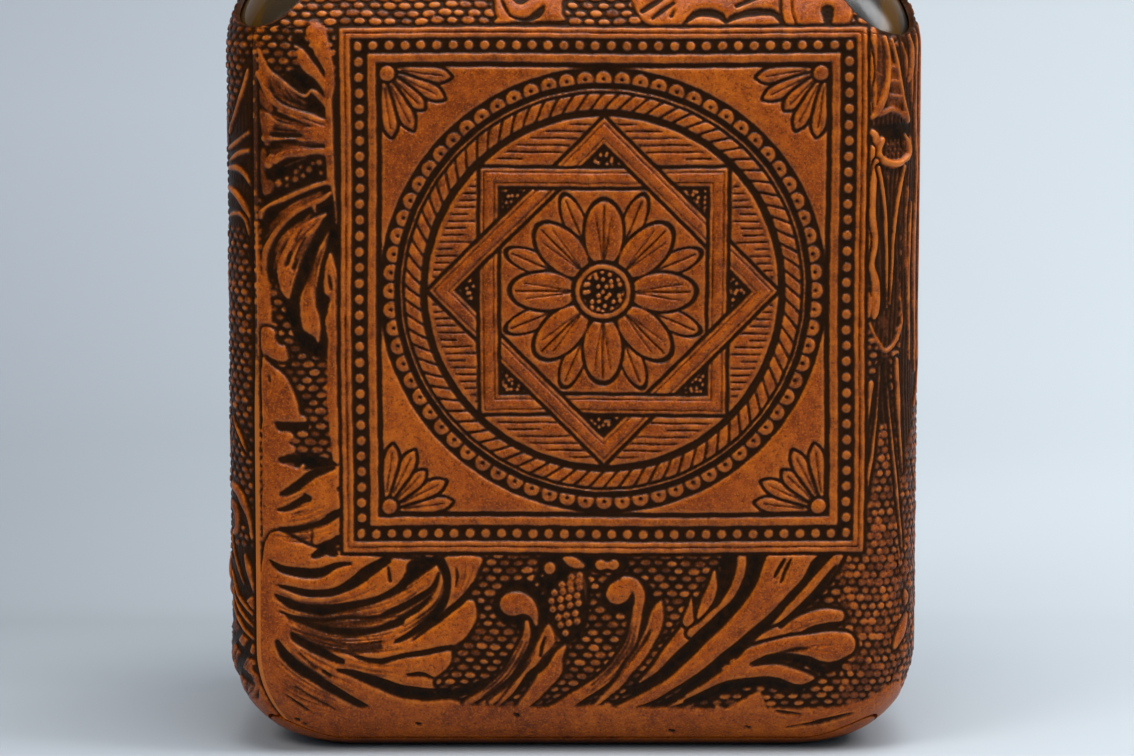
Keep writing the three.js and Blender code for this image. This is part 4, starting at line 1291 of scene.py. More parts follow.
def windowEdge(rise, begin, wall):  # how far from its corner a flap's edge lies
    deep = jacket["windowDepth"]
    opened = np.sqrt(1 - (1 - np.clip((rise - begin) / deep, 0, 1)) ** 2)
    beyond = np.clip((rise - begin - deep) / (1 - begin - deep), 0, 1)
    return lerp(wall, lerp(jacket["windowShare"], jacket["windowTopShare"], beyond), opened)


def jacketPanel(names, quarter, board, splits):
    heights = faceHeights if quarter % 2 == 0 else sideHeights
    spacing = jacket["spacing"] * (0.8 if quarter == 0 else 1.0)
    start = jacket["seam"] if quarter == 0 else 0.0
    end = 1 + jacket["seam"] - jacket["seamGap"] if quarter == 3 else 1.0
    shares = np.linspace(start, end, 2001)
    wall = alongFace(1.5, quarter, shares)
    columns = int((wall[-1] - wall[0]) / spacing) + 1
    share = np.interp(np.linspace(wall[0], wall[-1], columns), wall, shares)
    bottom = hemStation(quarter + share)
    baseRows = np.linspace(0, 1, int(17 / spacing), endpoint=False)[:, None]
    wallRows = np.linspace(1, 2, int(100 / spacing), endpoint=False)
    top = heights[-1]
    shoulder = flask["shoulderHeight"]
    flapRows = np.interp(np.linspace(shoulder, top, int((top - shoulder) / spacing)), heights, stationTable)
    rise = np.sin((flapRows - 2) * math.pi / 2)[:, None]
    starts = jacket["windowStarts"][quarter]
    flapStart = windowEdge(rise, starts[0], start)
    flapEnd = 1 - windowEdge(rise, starts[1], 1 - end)
    station = np.vstack([lerp(bottom[None, :], 1, baseRows),
                         np.repeat(wallRows[:, None], columns, 1),
                         np.repeat(flapRows[:, None], columns, 1)])
    below = len(baseRows) + len(wallRows)
    bend = jacket["bend"]
    flap = np.where(share < bend, lerp(flapStart, bend, (share - start) / (bend - start)), share[None, :])
    flap = np.where(share > 1 - bend, lerp(flapEnd, 1 - bend, (end - share) / (end - 1 + bend)), flap)
    place = np.vstack([np.repeat(share[None, :], below, 0), flap])
    s = alongFace(station, quarter, place)
    t = np.interp(station, stationTable, heights)
    rim, lap, groove = [np.full(s.shape, 9.0) for _ in range(3)]
    opened = ((flapStart > start + 1e-6), (flapEnd < end - 1e-6))
    rim[below:] = np.where(opened[0], s[below:] - s[below:, :1], 9.0)
    rim[below:] = np.minimum(rim[below:], np.where(opened[1], s[below:, -1:] - s[below:], 9.0))
    if quarter == 0:
        lap[:] = s - s[:, :1]
    if quarter == 3:
        groove[:below] = s[:below, -1:] - s[:below]
    depth = jacket["relief"] * (1 - reliefAt(board, "relief", s, t, (rim, lap, groove)))
    around = quarter + place
    outer = formPoints(station, around, depth)
    inner = formPoints(station, around, np.full(s.shape, flask["leather"]))
    middle = t[:, columns // 2]
    bounds = [0, *[int(np.searchsorted(middle, split)) for split in splits], len(station) - 1]
    fields = {"across": s, "up": t, "rim": rim, "lap": lap, "groove": groove}
    pieces = []
    for name, first, last in zip(names, bounds, bounds[1:]):
        rows = slice(first, last + 1)
        skins = np.vstack([outer[rows].reshape(-1, 3), inner[rows].reshape(-1, 3)])
        kept = [row for row in (first, last) if 0 < row < len(station) - 1]
        share = {label: values[rows] for label, values in fields.items()}
        pieces.append(jacketPiece(name, board, skins, share, [row - first for row in kept]))
    return pieces


def jacketPiece(name, board, skins, fields, keptRows):  # a closed sheet, thinned where it is plain
    rows, columns = fields["up"].shape
    piece = newSheet(name, columns, rows)
    setCoords(piece, skins)
    for label, values in fields.items():
        setValues(piece, label, np.concatenate([values.ravel(), values.ravel()]))
    setValues(piece, "inner", np.repeat([0.0, 1.0], rows * columns))
    free = np.ones((2, rows, columns), bool)
    free[:, keptRows] = False
    group = piece.vertex_groups.new(name="free")
    group.add(np.flatnonzero(free.ravel()).tolist(), 1.0, "REPLACE")
    thin(piece, jacket["mostTriangles"], vertex_group="free")
    piece.vertex_groups.clear()
    labels = (*fields, "inner")
    across, up, *edges, hidden = [getValues(piece, label) for label in labels]
    lift = reliefAt(board, "lift", across, up, edges)
    setValues(piece, "lift", np.where(hidden > 0.5, 0.35, lift))
    setValues(piece, "tone", boardAt(board, "tone", *worked(across, up)))
    setValues(piece, "wearAndHighlight", reliefAt(board, "wearAndHighlight", across, up, edges))
    for label in labels:
        piece.data.attributes.remove(piece.data.attributes[label])
    smoothShade(piece, 72)
    print(name, len(piece.data.polygons), "faces")
    return piece


panels = []
for quarter, (names, board, splits) in enumerate((
    (("jacketFoot", "jacketFront", "jacketUpper", "jacketShoulder"), frontBoard, (33.9, 78.0, 122.3)),
    (("jacketRight",), rightBoard, ()),
    (("jacketBack",), backBoard, ()),
    (("jacketLeft",), leftBoard, ()),
)):
    panels += jacketPanel(names, quarter, board, splits)
print("jacket laid")


# Turned and stacked pieces
def stackPiece(name, rings):  # rings of points, joined into one closed skin
    rings = np.asarray(rings, float)
    rows, columns = rings.shape[:2]
    piece = newGrid(name, columns + 1, rows)
    setCoords(piece, np.concatenate([rings, rings[:, :1]], axis=1).reshape(-1, 3))
    bpy.ops.object.mode_set(mode="EDIT")
    bpy.ops.mesh.select_all(action="SELECT")
    bpy.ops.mesh.remove_doubles(threshold=1e-7)
    bpy.ops.mesh.dissolve_degenerate(threshold=1e-8)
    bpy.ops.mesh.normals_make_consistent(inside=False)
    bpy.ops.object.mode_set(mode="OBJECT")
    return piece


def turnedRings(profile, columns):  # a profile of (radius, height) spun about the axis
    angle = np.arange(columns) * 2 * math.pi / columns
    profile = np.asarray(profile, float)
    return np.stack([profile[:, :1] * np.cos(angle), profile[:, :1] * np.sin(angle),
                     np.repeat(profile[:, 1:], columns, 1)], axis=-1)


def turnedPiece(name, profile, columns=128):
    if profile[0][0] and profile[-1][0]:
        profile = list(profile) + [profile[0]]
    return stackPiece(name, turnedRings(profile, columns))


def roundEdge(radius, height, reach, start, steps=5):  # a quarter round, in degrees from outward
    turns = np.radians(np.linspace(start, start + 90, steps))
    return [(radius + reach * math.cos(turn), height + reach * math.sin(turn)) for turn in turns]


glass = {
    "depth": flask["leather"] + flask["gap"],
    "wall": flask["glassWall"],
    "neck": sleeveHigh[0] - flask["leather"] - flask["gap"],
    "bore": 9.8,
    "lipRadius": washerHigh[0],
    "lipHeight": 6.0,
    "lipRound": 1.4,
    "columns": 256,
}


def bodyRings(stations, depth, columns):
    around = np.arange(columns) * 4 / columns
    grid = np.meshgrid(stations, around, indexing="ij")
    return formPoints(grid[0], grid[1], np.full(grid[0].shape, depth))


def glassBottle():
    columns = glass["columns"]
    stations = np.concatenate([np.linspace(0, 1, 14), np.linspace(1, 2, 5)[1:], np.linspace(2, 3, 48)[1:]])
    outer = bodyRings(stations, glass["depth"], columns)
    inner = bodyRings(stations[::-1], glass["depth"] + glass["wall"], columns)
    top = outer[-1]
    turn = np.arctan2(top[:, 1], top[:, 0])
    mouth = glassHigh[2]
    lip = mouth - glass["lipHeight"]
    reach = glass["lipRadius"] - glass["lipRound"]
    foot = jacketHigh[2]
    shoulder = foot - glass["depth"]
    neck = [(glass["neck"] + out, foot + up) for out, up in ((0.9, -0.75), (0.3, 0.0), (0.0, 0.9))]
    neck.append((glass["neck"], lip))
    neck += roundEdge(reach, lip + glass["lipRound"], glass["lipRound"], -90)
    neck += roundEdge(reach, mouth - glass["lipRound"], glass["lipRound"], 0)
    neck += roundEdge(glass["bore"] + 1.0, mouth - 1.0, 1.0, 90)
    between = (glass["bore"] + flask["flapReach"]) / 2
    neck += [(glass["bore"], shoulder), (between, shoulder - glass["wall"] * 0.75)]
    rings = [np.stack([radius * np.cos(turn), radius * np.sin(turn), np.full(columns, z)], 1)
             for radius, z in neck]
    low = np.tile([0, 0, glass["depth"]], (columns, 1))
    inside = np.tile([0, 0, glass["depth"] + glass["wall"]], (columns, 1))
    return stackPiece("glassBottle", np.stack([low, *outer, *rings, *inner, inside]))


base = {"hemGap": 0.7, "rows": 24, "columns": 240}


def baseLeather():
    around = np.arange(base["columns"]) * 4 / base["columns"]
    top = hemStation(around) - base["hemGap"] / (flask["baseRise"] * math.pi / 2)
    rows = np.linspace(0, 1, base["rows"])[:, None]
    station = rows * top[None, :]
    places = np.repeat(around[None, :], base["rows"], 0)
    outer = formPoints(station, places, np.zeros(station.shape))
    inner = formPoints(station, places, np.full(station.shape, flask["leather"]))
    edge = formPoints(station[-1:], places[-1:], np.full((1, base["columns"]), flask["leather"] / 2))
    middle = np.zeros((base["columns"], 3))
    lifted = middle + np.array([0, 0, flask["leather"]])
    return stackPiece("baseTray", np.stack([middle, *outer, *edge, *inner[::-1], lifted]))


strip = {"spacing": 0.25, "relief": 0.6, "mostTriangles": 60000}


def wrappedStrip(name, board, radius, low, high, slit):  # a tooled sleeve, butted at the back
    spacing = strip["spacing"]
    columns = int(2 * math.pi * radius / spacing)
    rows = int((high - low) / spacing)
    half = math.pi * radius - slit / 2
    s, t = np.meshgrid(np.linspace(-half, half, columns), np.linspace(0, high - low, rows))
    edge = np.minimum(np.minimum(t, high - low - t), half - np.abs(s))
    finishBoard(board)
    depth = strip["relief"] * (1 - boardAt(board, "relief", s, t)) + 0.35 * smooth(1 - edge / 0.5) ** 2
    turn = s / radius - math.pi / 2

    def around(reach):
        return np.stack([reach * np.cos(turn), reach * np.sin(turn), low + t], axis=-1).reshape(-1, 3)

    piece = newSheet(name, columns, rows)
    setCoords(piece, np.vstack([around(radius - depth), around(np.full(s.shape, radius - flask["leather"]))]))
    setValues(piece, "across", np.concatenate([s.ravel(), s.ravel()]))
    setValues(piece, "up", np.concatenate([t.ravel(), t.ravel()]))
    thin(piece, strip["mostTriangles"])
    dress(piece, board, getValues(piece, "across"), getValues(piece, "up"))
    for label in ("across", "up"):
        piece.data.attributes.remove(piece.data.attributes[label])
    smoothShade(piece, 72)
    return piece


def dress(piece, board, s, t):
    for layer in ("lift", "tone", "wearAndHighlight"):
        setValues(piece, layer, boardAt(board, layer, s, t))


def ringBars(board, heights, half):
    reach = board["s"].max()
    for up in heights:
        bar(board, (-reach - 1, up - half), (reach + 1, up + half), moat=0.5)


sleeveTall = sleeveHigh[2] - sleeveLow[2]
sleeveBoard = newBoard(math.pi * sleeveHigh[0] + 1, 0, sleeveTall)
pebbles(sleeveBoard, (-60, -1), (60, sleeveTall + 1))
ringBars(sleeveBoard, (0.6, 3.6, sleeveTall - 3.6, sleeveTall - 0.6), 0.75)
for place in np.arange(-5, 6) * math.pi * sleeveHigh[0] / 5.5:
    for lean in (-1, 1):
        for line in ([(0, 6.0, 0.4), (1.6, 10.0, 1.0), (2.6, 14.5, 0.3)],
                     [(0, 14.0, 0.4), (1.5, 17.6, 0.9), (2.2, 21.4, 0.3)]):
            leaf(sleeveBoard, [(place + lean * across, up, half) for across, up, half in line], 0.5)
    leaf(sleeveBoard, [(place, 5.4, 0.5), (place, 17.0, 0.45), (place, 25.4, 0.2)], 0.35)
    ball(sleeveBoard, place, 26.0, 0.8, 0.4)

bandTall = bandHigh[2] - bandLow[2]
bandBoard = newBoard(math.pi * bandHigh[0] + 1, 0, bandTall)
pebbles(bandBoard, (-70, -1), (70, bandTall + 1))
ringBars(bandBoard, (0.6, 3.4, bandTall - 3.4, bandTall - 0.6), 0.7)
for place in np.arange(-6, 7) * math.pi * bandHigh[0] / 6.5:
    for lean in (-1, 1):
        leaf(bandBoard, [(place + lean * 0.4, 5.2, 0.5), (place + lean * 2.6, 9.0, 1.2),
                         (place + lean * 2.2, 15.2, 0.3)], 0.5)
        vein(bandBoard, [(place + lean * 1.0, 6.4, 0.1), (place + lean * 2.5, 9.2, 0.1),
                         (place + lean * 2.3, 13.0, 0.1)])
    leaf(bandBoard, [(place, 5.0, 0.4), (place, 10.5, 0.9), (place, 16.6, 0.2)], 0.4)

neckSleeve = wrappedStrip("neckStrip", sleeveBoard, sleeveHigh[0], sleeveLow[2], sleeveHigh[2], 0.3)
stopperBand = wrappedStrip("stopperStrip", bandBoard, bandHigh[0], bandLow[2], bandHigh[2], 0.25)


disc = {
    "rim": 1.6,                 # from the edge to the middle of the corded rim
    "petals": 8,
    "petalRows": ((0.5, 9.0, 3.9, 1.9), (0.0, 7.2, 4.2, 1.6)),  # turn, middle, reach, narrowness
    "relief": 0.5,
    "rows": 90,
    "columns": 440,
    "mostTriangles": 80000,
}


def discTooling(outside):  # a flower in a corded rim
    board = newBoard(outside + 1, -outside - 1, outside + 1)
    distance, angle = np.hypot(board["s"], board["t"]), np.arctan2(board["t"], board["s"])
    fromRim = distance - outside + disc["rim"]
    board["relief"][:] = 0.85 * grainGround(board, wholeBoard, 1.05, 41)
    raiseShape(board, wholeBoard, np.abs(fromRim) - 1.5, moat=0.4)
    lean = (angle * 16 + 0.9 * fromRim) / 2.2
    cord = np.abs(lean - np.round(lean)) * 1.6 - 0.15
    cutShape(board, wholeBoard, np.where(np.abs(fromRim) < 1.0, cord, 2.0), 0.9)
    sector = 2 * math.pi / disc["petals"]
    for shift, centre, reach, narrow in disc["petalRows"]:
        beside, outer = petalShape(distance, angle, sector, shift, centre, narrow)
        raiseShape(board, wholeBoard, (outer - reach) / 1.2, moat=0.5)
        cutShape(board, wholeBoard, np.where(outer < reach - 0.5, beside - 0.12, 2.0), 0.9, 0.32)
    raiseShape(board, wholeBoard, distance - 3.4, moat=0.5)
    fillGround(board, wholeBoard, distance - 2.5, grainGround(board, wholeBoard, 1.15, 51))
    finishBoard(board)
    return board


def stopperCap():
    outside, rim, top = capHigh[0], capLow[2], capHigh[2]
    board = discTooling(outside)
    shares = np.linspace(1, 0, disc["rows"])
    crown = top - rim - flask["leather"] / 2
    profile = [(outside * share, rim + flask["leather"] / 2 + crown * (1 - share ** 2)) for share in shares]
    over = turnedRings(profile, disc["columns"])
    depth = disc["relief"] * (1 - boardAt(board, "relief", over[..., 0], over[..., 1]))
    over[..., 2] -= depth + 0.25 * smooth((shares - 0.97) / 0.03)[:, None]
    reach = coreHigh[0] + flask["gap"]
    hollowed = coreHigh[2] - bandHigh[2]
    under = [(reach * share, rim + hollowed * (1 - share ** 2)) for share in np.linspace(0, 1, 16)]
    under = turnedRings(under + [(outside - 0.2, rim)], disc["columns"])
    piece = stackPiece("stopperDisc", np.concatenate([under, over]))
    thin(piece, disc["mostTriangles"])
    coords = getCoords(piece)
    dress(piece, board, coords[:, 0], coords[:, 1])
    smoothShade(piece, 72)
    return piece


collar = {"minor": (collarHigh[2] - collarLow[2]) / 2, "turns": 54, "groove": 0.2}


def neckCollar():  # a rolled thong, whipped with a thinner lace
    bpy.ops.object.select_all(action="DESELECT")
    middle = collarHigh[0] - collar["minor"]
    around, section = ((648, 36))
    bpy.ops.mesh.primitive_torus_add(major_segments=around, minor_segments=section, major_radius=middle * mm,
                                     minor_radius=collar["minor"] * mm)
    piece = bpy.context.object
    piece.name = "neckRoll"
    coords = getCoords(piece)
    turn = np.arctan2(coords[:, 1], coords[:, 0])
    centre = np.stack([middle * np.cos(turn), middle * np.sin(turn), np.zeros(len(turn))], 1)
    spoke = coords - centre
    tilt = np.arctan2(spoke[:, 2], np.hypot(coords[:, 0], coords[:, 1]) - middle)
    lace = turn * collar["turns"] / (2 * math.pi) + tilt / (2 * math.pi)
    lace = np.abs(lace - np.round(lace)) * 2
    sunk = collar["groove"] * smooth((lace - 0.55) / 0.45)
    coords = centre + spoke * (1 - sunk / collar["minor"])[:, None]
    coords[:, 2] += collarLow[2] + collar["minor"]
    setCoords(piece, coords)
    setValues(piece, "lift", 1 - 0.75 * smooth((lace - 0.6) / 0.4))
    setValues(piece, "tone", np.full(len(coords), 0.7))
    # wear and painted highlight on the lace's crests
    setValues(piece, "wearAndHighlight", 0.5 * smooth((0.5 - lace) / 0.5))
    smoothShade(piece, 72)
    return piece


stopper = {
    "hole": 4.3,                # the dowel's, through the washer and into cork and head
    "washerRound": 0.35,
    "corkRound": 1.0,
    "corkFootInset": 1.9,
    "corkWaistInset": 0.45,
    "corkSocket": 167.7,        # heights where the dowel's hole ends
    "headSocket": 198.4,
    "headRound": 1.5,
}


def washer():
    hole, edge = stopper["hole"], stopper["washerRound"]
    reach = washerHigh[0] - edge
    profile = [(hole, washerHigh[2]), (hole, washerLow[2])]
    profile += roundEdge(reach, washerLow[2] + edge, edge, -90)
    return turnedPiece("lipRing", profile + roundEdge(reach, washerHigh[2] - edge, edge, 0))


def cork():
    foot, top, radius = corkLow[2], corkHigh[2], corkHigh[0]
    hole, edge = stopper["hole"], stopper["corkRound"]
    profile = [(0, foot)] + roundEdge(radius - stopper["corkFootInset"], foot + edge, edge, -90)
    profile += [(radius - stopper["corkWaistInset"], (foot + top) / 2), (radius, top), (hole, top)]
    return turnedPiece("corkStopper", profile + [(hole, stopper["corkSocket"]), (0, stopper["corkSocket"])])


def head():
    rim, hole, edge = bandHigh[2], stopper["hole"], stopper["headRound"]
    profile = [(0, stopper["headSocket"]), (hole, stopper["headSocket"]), (hole, coreLow[2])]
    profile += roundEdge(coreHigh[0] - edge, coreLow[2] + edge, edge, -90)
    crown = coreHigh[2] - rim
    profile += [(coreHigh[0] * share, rim + crown * (1 - share ** 2)) for share in np.linspace(1, 0, 14)]
    return turnedPiece("stopperHead", profile)


lipWasher, corkPlug, stopperCore = washer(), cork(), head()
for piece in (lipWasher, corkPlug, stopperCore):
    smoothShade(piece, 40)
glassPiece = glassBottle()
basePiece = baseLeather()
capPiece = stopperCap()
collarPiece = neckCollar()
for piece in (glassPiece, basePiece):
    smoothShade(piece, 50)
print("bottle, base, neck and stopper made")


# Materials
def newMaterial(name):
    material = bpy.data.materials.new(name)
    material.use_nodes = True
    return material, material.node_tree.nodes["Principled BSDF"]


def setInput(material, node, name, value):
    if isinstance(value, bpy.types.NodeSocket):
        material.node_tree.links.new(value, node.inputs[name])
    else:
        node.inputs[name].default_value = value


def addNode(material, kind, inputs=None, **settings):
    node = material.node_tree.nodes.new(kind)
    for name, value in settings.items():
        setattr(node, name, value)
    for name, value in (inputs or {}).items():
        setInput(material, node, name, value)
    return node


def objectCoords(material):
    return addNode(material, "ShaderNodeTexCoord").outputs["Object"]


def noise(material, coords, scale, detail=4.0, roughness=0.6):
    return addNode(material, "ShaderNodeTexNoise", {"Vector": coords, "Scale": scale, "Detail": detail,
                                                    "Roughness": roughness}).outputs["Fac"]


def ramp(material, value, stops):
    node = addNode(material, "ShaderNodeValToRGB", {"Fac": value})
    elements = node.color_ramp.elements
    while len(elements) < len(stops):
        elements.new(0.5)
    for element, (position, colour) in zip(elements, stops):
        element.position = position
        element.color = (*colour, 1.0)
    return node.outputs["Color"]


def rangeOf(material, value, low, high, toLow=0.0, toHigh=1.0):
    return addNode(material, "ShaderNodeMapRange", {"Value": value, "From Min": low, "From Max": high,
                                                    "To Min": toLow, "To Max": toHigh}).outputs["Result"]


def maths(material, operation, a, b):
    return addNode(material, "ShaderNodeMath", {0: a, 1: b}, operation=operation).outputs["Value"]


def mixColour(material, share, a, b):
    node = addNode(material, "ShaderNodeMix", data_type="RGBA")
    for index, value in ((0, share), (6, a), (7, b)):
        setInput(material, node, index, (*value, 1.0) if isinstance(value, tuple) else value)
    return node.outputs[2]


def bump(material, height, distance, strength=1.0, normal=None):
    inputs = {"Height": height, "Distance": distance, "Strength": strength}
    if normal is not None:
        inputs["Normal"] = normal
    return addNode(material, "ShaderNodeBump", inputs).outputs["Normal"]


# pale tan also paints highlight on worn edges, stain brown also paints shade beside the edges of raised work,
# and ink also paints the shade at the base's foot
leatherTone = {
    "paleTanAndFootShade": (0.58, 0.155, 0.005),
    "light": (0.45, 0.096, 0.002),
    "mid": (0.285, 0.050, 0.0012),
    "dark": (0.14, 0.022, 0.001),
    "stainAndShadeBrown": (0.07, 0.0145, 0.0008),
    "dye": (0.028, 0.0085, 0.0012),
    "inkAndFootShade": (0.0065, 0.0036, 0.0016),
    "gloss": 0.3,
}


def leatherMaterial(name, tooled):
    tone = leatherTone
    material, shader = newMaterial(name)
    coords = objectCoords(material)
    mottle = noise(material, coords, 420, 8, 0.7)
    patches = noise(material, coords, 45, 4)
    mixed = maths(material, "ADD", maths(material, "MULTIPLY", mottle, 0.55),
                  maths(material, "MULTIPLY", patches, 0.45))
    tan = ramp(material, mixed, ((0.38, tone["dark"]), (0.5, tone["mid"]), (0.64, tone["light"])))
    pits = noise(material, coords, 2100, 3, 0.65)
    tan = mixColour(material, rangeOf(material, pits, 0.53, 0.68, 0.0, 0.8), tan, tone["stainAndShadeBrown"])
    flecks = noise(material, coords, 2700, 2, 0.6)
    tan = mixColour(material, rangeOf(material, flecks, 0.53, 0.66, 0.0, 0.45), tan, tone["paleTanAndFootShade"])
    roughness = rangeOf(material, mottle, 0.3, 0.7, tone["gloss"], tone["gloss"] + 0.14)
    if tooled:
        lift, shade, wearAndHighlight = [addNode(material, "ShaderNodeAttribute", attribute_name=layer).outputs["Fac"]
                             for layer in ("lift", "tone", "wearAndHighlight")]
        uneven = rangeOf(material, mottle, 0.3, 0.7, -0.13, 0.13)
        ragged = rangeOf(material, noise(material, coords, 2200, 2, 0.6), 0.3, 0.7, -0.1, 0.1)
        # stain and painted shade: by the blurred relief, the leather darkens towards the edges of raised work
        # and where the work is narrow
        stainedAndShaded = rangeOf(material, maths(material, "ADD", shade, uneven), 0.28, 0.85, 0.8, 0.0)
        tan = mixColour(material, stainedAndShaded, tan, tone["stainAndShadeBrown"])
        # wear and painted highlight: just inside the edges of raised work and on thin ridges the leather is
        # mixed towards pale tan
        wornAndHighlighted = rangeOf(material, maths(material, "ADD", wearAndHighlight, uneven), 0.1, 0.45, 0.0, 0.6)
        tan = mixColour(material, wornAndHighlighted, tan, tone["paleTanAndFootShade"])
        frayed = maths(material, "ADD", lift, maths(material, "ADD", uneven, ragged))
        tan = mixColour(material, rangeOf(material, frayed, 0.48, 0.8, 1.0, 0.0), tan, tone["stainAndShadeBrown"])
        tan = mixColour(material, rangeOf(material, frayed, 0.3, 0.56, 1.0, 0.0), tan, tone["dye"])
        sunk = rangeOf(material, maths(material, "ADD", shade, uneven), 0.1, 0.62, 1.0, 0.15)
        smeared = rangeOf(material, noise(material, coords, 800, 4, 0.65), 0.44, 0.66, 1.0, 0.3)
        dyeShare = maths(material, "MULTIPLY", rangeOf(material, frayed, 0.06, 0.36, 1.0, 0.0), sunk)
        dyeShare = maths(material, "MULTIPLY", dyeShare, smeared)
        tan = mixColour(material, dyeShare, tan, tone["inkAndFootShade"])
        sheen = rangeOf(material, frayed, 0.25, 0.75, 0.0, 0.3)
        sheen = maths(material, "ADD", sheen, rangeOf(material, wearAndHighlight, 0.1, 0.5, 0.0, 0.32))
        setInput(material, shader, "Coat Weight", sheen)
        shader.inputs["Specular IOR Level"].default_value = 0.06
    else:
        # painted shade: from two millimetres up down to the floor, the base leather is mixed towards near
        # black, where the contact shadow falls
        paleTanAndFootShade = addNode(material, "ShaderNodeSeparateXYZ", {"Vector": coords}).outputs["Z"]
        tan = mixColour(material, rangeOf(material, paleTanAndFootShade, 0.0006, 0.002, 0.97, 0.0), tan, tone["inkAndFootShade"])
        shader.inputs["Specular IOR Level"].default_value = 0.16
    setInput(material, shader, "Base Color", tan)
    setInput(material, shader, "Roughness", roughness)
    cells = addNode(material, "ShaderNodeTexVoronoi", {"Vector": coords, "Scale": 2200},
                    feature="DISTANCE_TO_EDGE")
    creases = maths(material, "MULTIPLY", cells.outputs["Distance"], 0.6)
    grain = maths(material, "SUBTRACT", creases, pits)
    normal = bump(material, grain, 0.0001, 0.7)
    normal = bump(material, mottle, 0.0003, 0.3, normal)
    setInput(material, shader, "Normal", normal)
    setInput(material, shader, "Coat Normal", normal)
    shader.inputs["Coat Roughness"].default_value = 0.3
    return material


tooledLeather = leatherMaterial("tooledLeather", True)
plainLeather = leatherMaterial("plainLeather", False)


def assign(piece, material):
    piece.data.materials.clear()
    piece.data.materials.append(material)


for piece in panels:
    assign(piece, tooledLeather)
    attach(piece, "flask")
    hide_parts("body_jacket")


glassTone = {"clear": (0.10, 0.06, 0.02), "thick": (0.02, 0.018, 0.02)}
paintedGlassLightBands = (                  # painted reflection and light through the glass: way aside in metres, shares at the left and the right, colour
    (0.0440, 0.0490, 0.1, 1.0, (0.06, 0.058, 0.058)),
    (0.0502, 0.0536, 0.7, 1.0, (0.15, 0.062, 0.0)),
    (0.0548, 0.0700, 1.0, 0.3, (0.006, 0.005, 0.006)),
)


def glassMaterial():  # dark amber, with slow ripples, and painted bands of reflection and of light through the glass
    material, shader = newMaterial("amberGlass")
    coords = objectCoords(material)
    ripples = noise(material, coords, 25, 3)
    colour = ramp(material, ripples, ((0.3, glassTone["thick"]), (0.75, glassTone["clear"])))
    across = addNode(material, "ShaderNodeSeparateXYZ", {"Vector": coords}).outputs["X"]
    waver = rangeOf(material, noise(material, coords, 40, 2), 0.3, 0.7, -0.0008, 0.0008)
    aside = maths(material, "ADD", maths(material, "ABSOLUTE", across, 0.0), waver)
    for low, high, leftShare, rightShare, tint in paintedGlassLightBands:
        rising = rangeOf(material, aside, low, low + 0.001)
        falling = rangeOf(material, aside, high, high + 0.0012, 1.0, 0.0)
        # painted light: each band's share changes from the left window to the right one, as the two are lit
        # differently
        bySide = rangeOf(material, across, -0.03, 0.03, leftShare, rightShare)
        share = maths(material, "MULTIPLY", maths(material, "MULTIPLY", rising, falling), bySide)
        colour = mixColour(material, share, colour, tint)
    setInput(material, shader, "Base Color", colour)
    shader.inputs["Transmission Weight"].default_value = 0.6
    shader.inputs["IOR"].default_value = 1.5
    shader.inputs["Specular IOR Level"].default_value = 0.25
    cloudy = rangeOf(material, noise(material, coords, 90, 3), 0.3, 0.7, 0.08, 0.16)
    cloudy = maths(material, "ADD", cloudy, rangeOf(material, across, -0.03, 0.03, 0.0, 0.12))
    setInput(material, shader, "Roughness", cloudy)
    setInput(material, shader, "Normal", bump(material, noise(material, coords, 60, 2), 0.0006, 0.25))
    return material


corkStops = ((0.3, (0.16, 0.075, 0.03)), (0.48, (0.42, 0.25, 0.12)), (0.7, (0.60, 0.41, 0.23)))
corkPits = (0.07, 0.03, 0.012)


def corkMaterial():
    material, shader = newMaterial("corkGrain")
    coords = objectCoords(material)
    grain = noise(material, coords, 700, 6, 0.7)
    colour = ramp(material, grain, corkStops)
    spots = addNode(material, "ShaderNodeTexVoronoi", {"Vector": coords, "Scale": 420})
    lenticels = spots.outputs["Distance"]
    colour = mixColour(material, rangeOf(material, lenticels, 0.12, 0.2, 0.85, 0.0), colour, corkPits)
    setInput(material, shader, "Base Color", colour)
    shader.inputs["Roughness"].default_value = 0.85
    rough = maths(material, "ADD", grain, lenticels)
    setInput(material, shader, "Normal", bump(material, rough, 0.0003, 0.5))
    return material


woodStops = ((0.32, (0.20, 0.10, 0.04)), (0.5, (0.42, 0.25, 0.12)), (0.68, (0.54, 0.36, 0.19)))


def woodMaterial():
    material, shader = newMaterial("turnedWood")
    stretch = {"Vector": objectCoords(material), "Scale": (1.0, 1.0, 0.08)}
    grain = noise(material, addNode(material, "ShaderNodeMapping", stretch).outputs["Vector"], 900, 6, 0.65)
    colour = ramp(material, grain, woodStops)
    setInput(material, shader, "Base Color", colour)
    setInput(material, shader, "Roughness", rangeOf(material, grain, 0.3, 0.7, 0.6, 0.45))
    setInput(material, shader, "Normal", bump(material, grain, 0.0002, 0.3))
    return material


amberGlass, corkGrain, turnedWood = glassMaterial(), corkMaterial(), woodMaterial()
for piece, material, body, node, slot in (
    (glassPiece, amberGlass, "flask", "glass_bottle", "amber_glass"),
    (basePiece, plainLeather, "flask", "base_leather", "base_leather"),
    (neckSleeve, tooledLeather, "flask", "neck_sleeve", "embossed_leather"),
    (collarPiece, tooledLeather, "flask", "neck_collar", "rolled_leather"),
    (lipWasher, plainLeather, "stopper", "lip_washer", "rolled_leather"),
    (corkPlug, corkGrain, "stopper", "cork_plug", "cork"),
    (stopperCore, turnedWood, "stopper", "stopper_core", "wood"),
    (stopperBand, tooledLeather, "stopper", "stopper_band", "embossed_leather"),
    (capPiece, tooledLeather, "stopper", "stopper_cap", "embossed_leather"),
):
    assign(piece, material)
    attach(piece, body)
    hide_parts(node)
assign(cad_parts["stopper_dowel"], turnedWood)
print("pieces dressed")

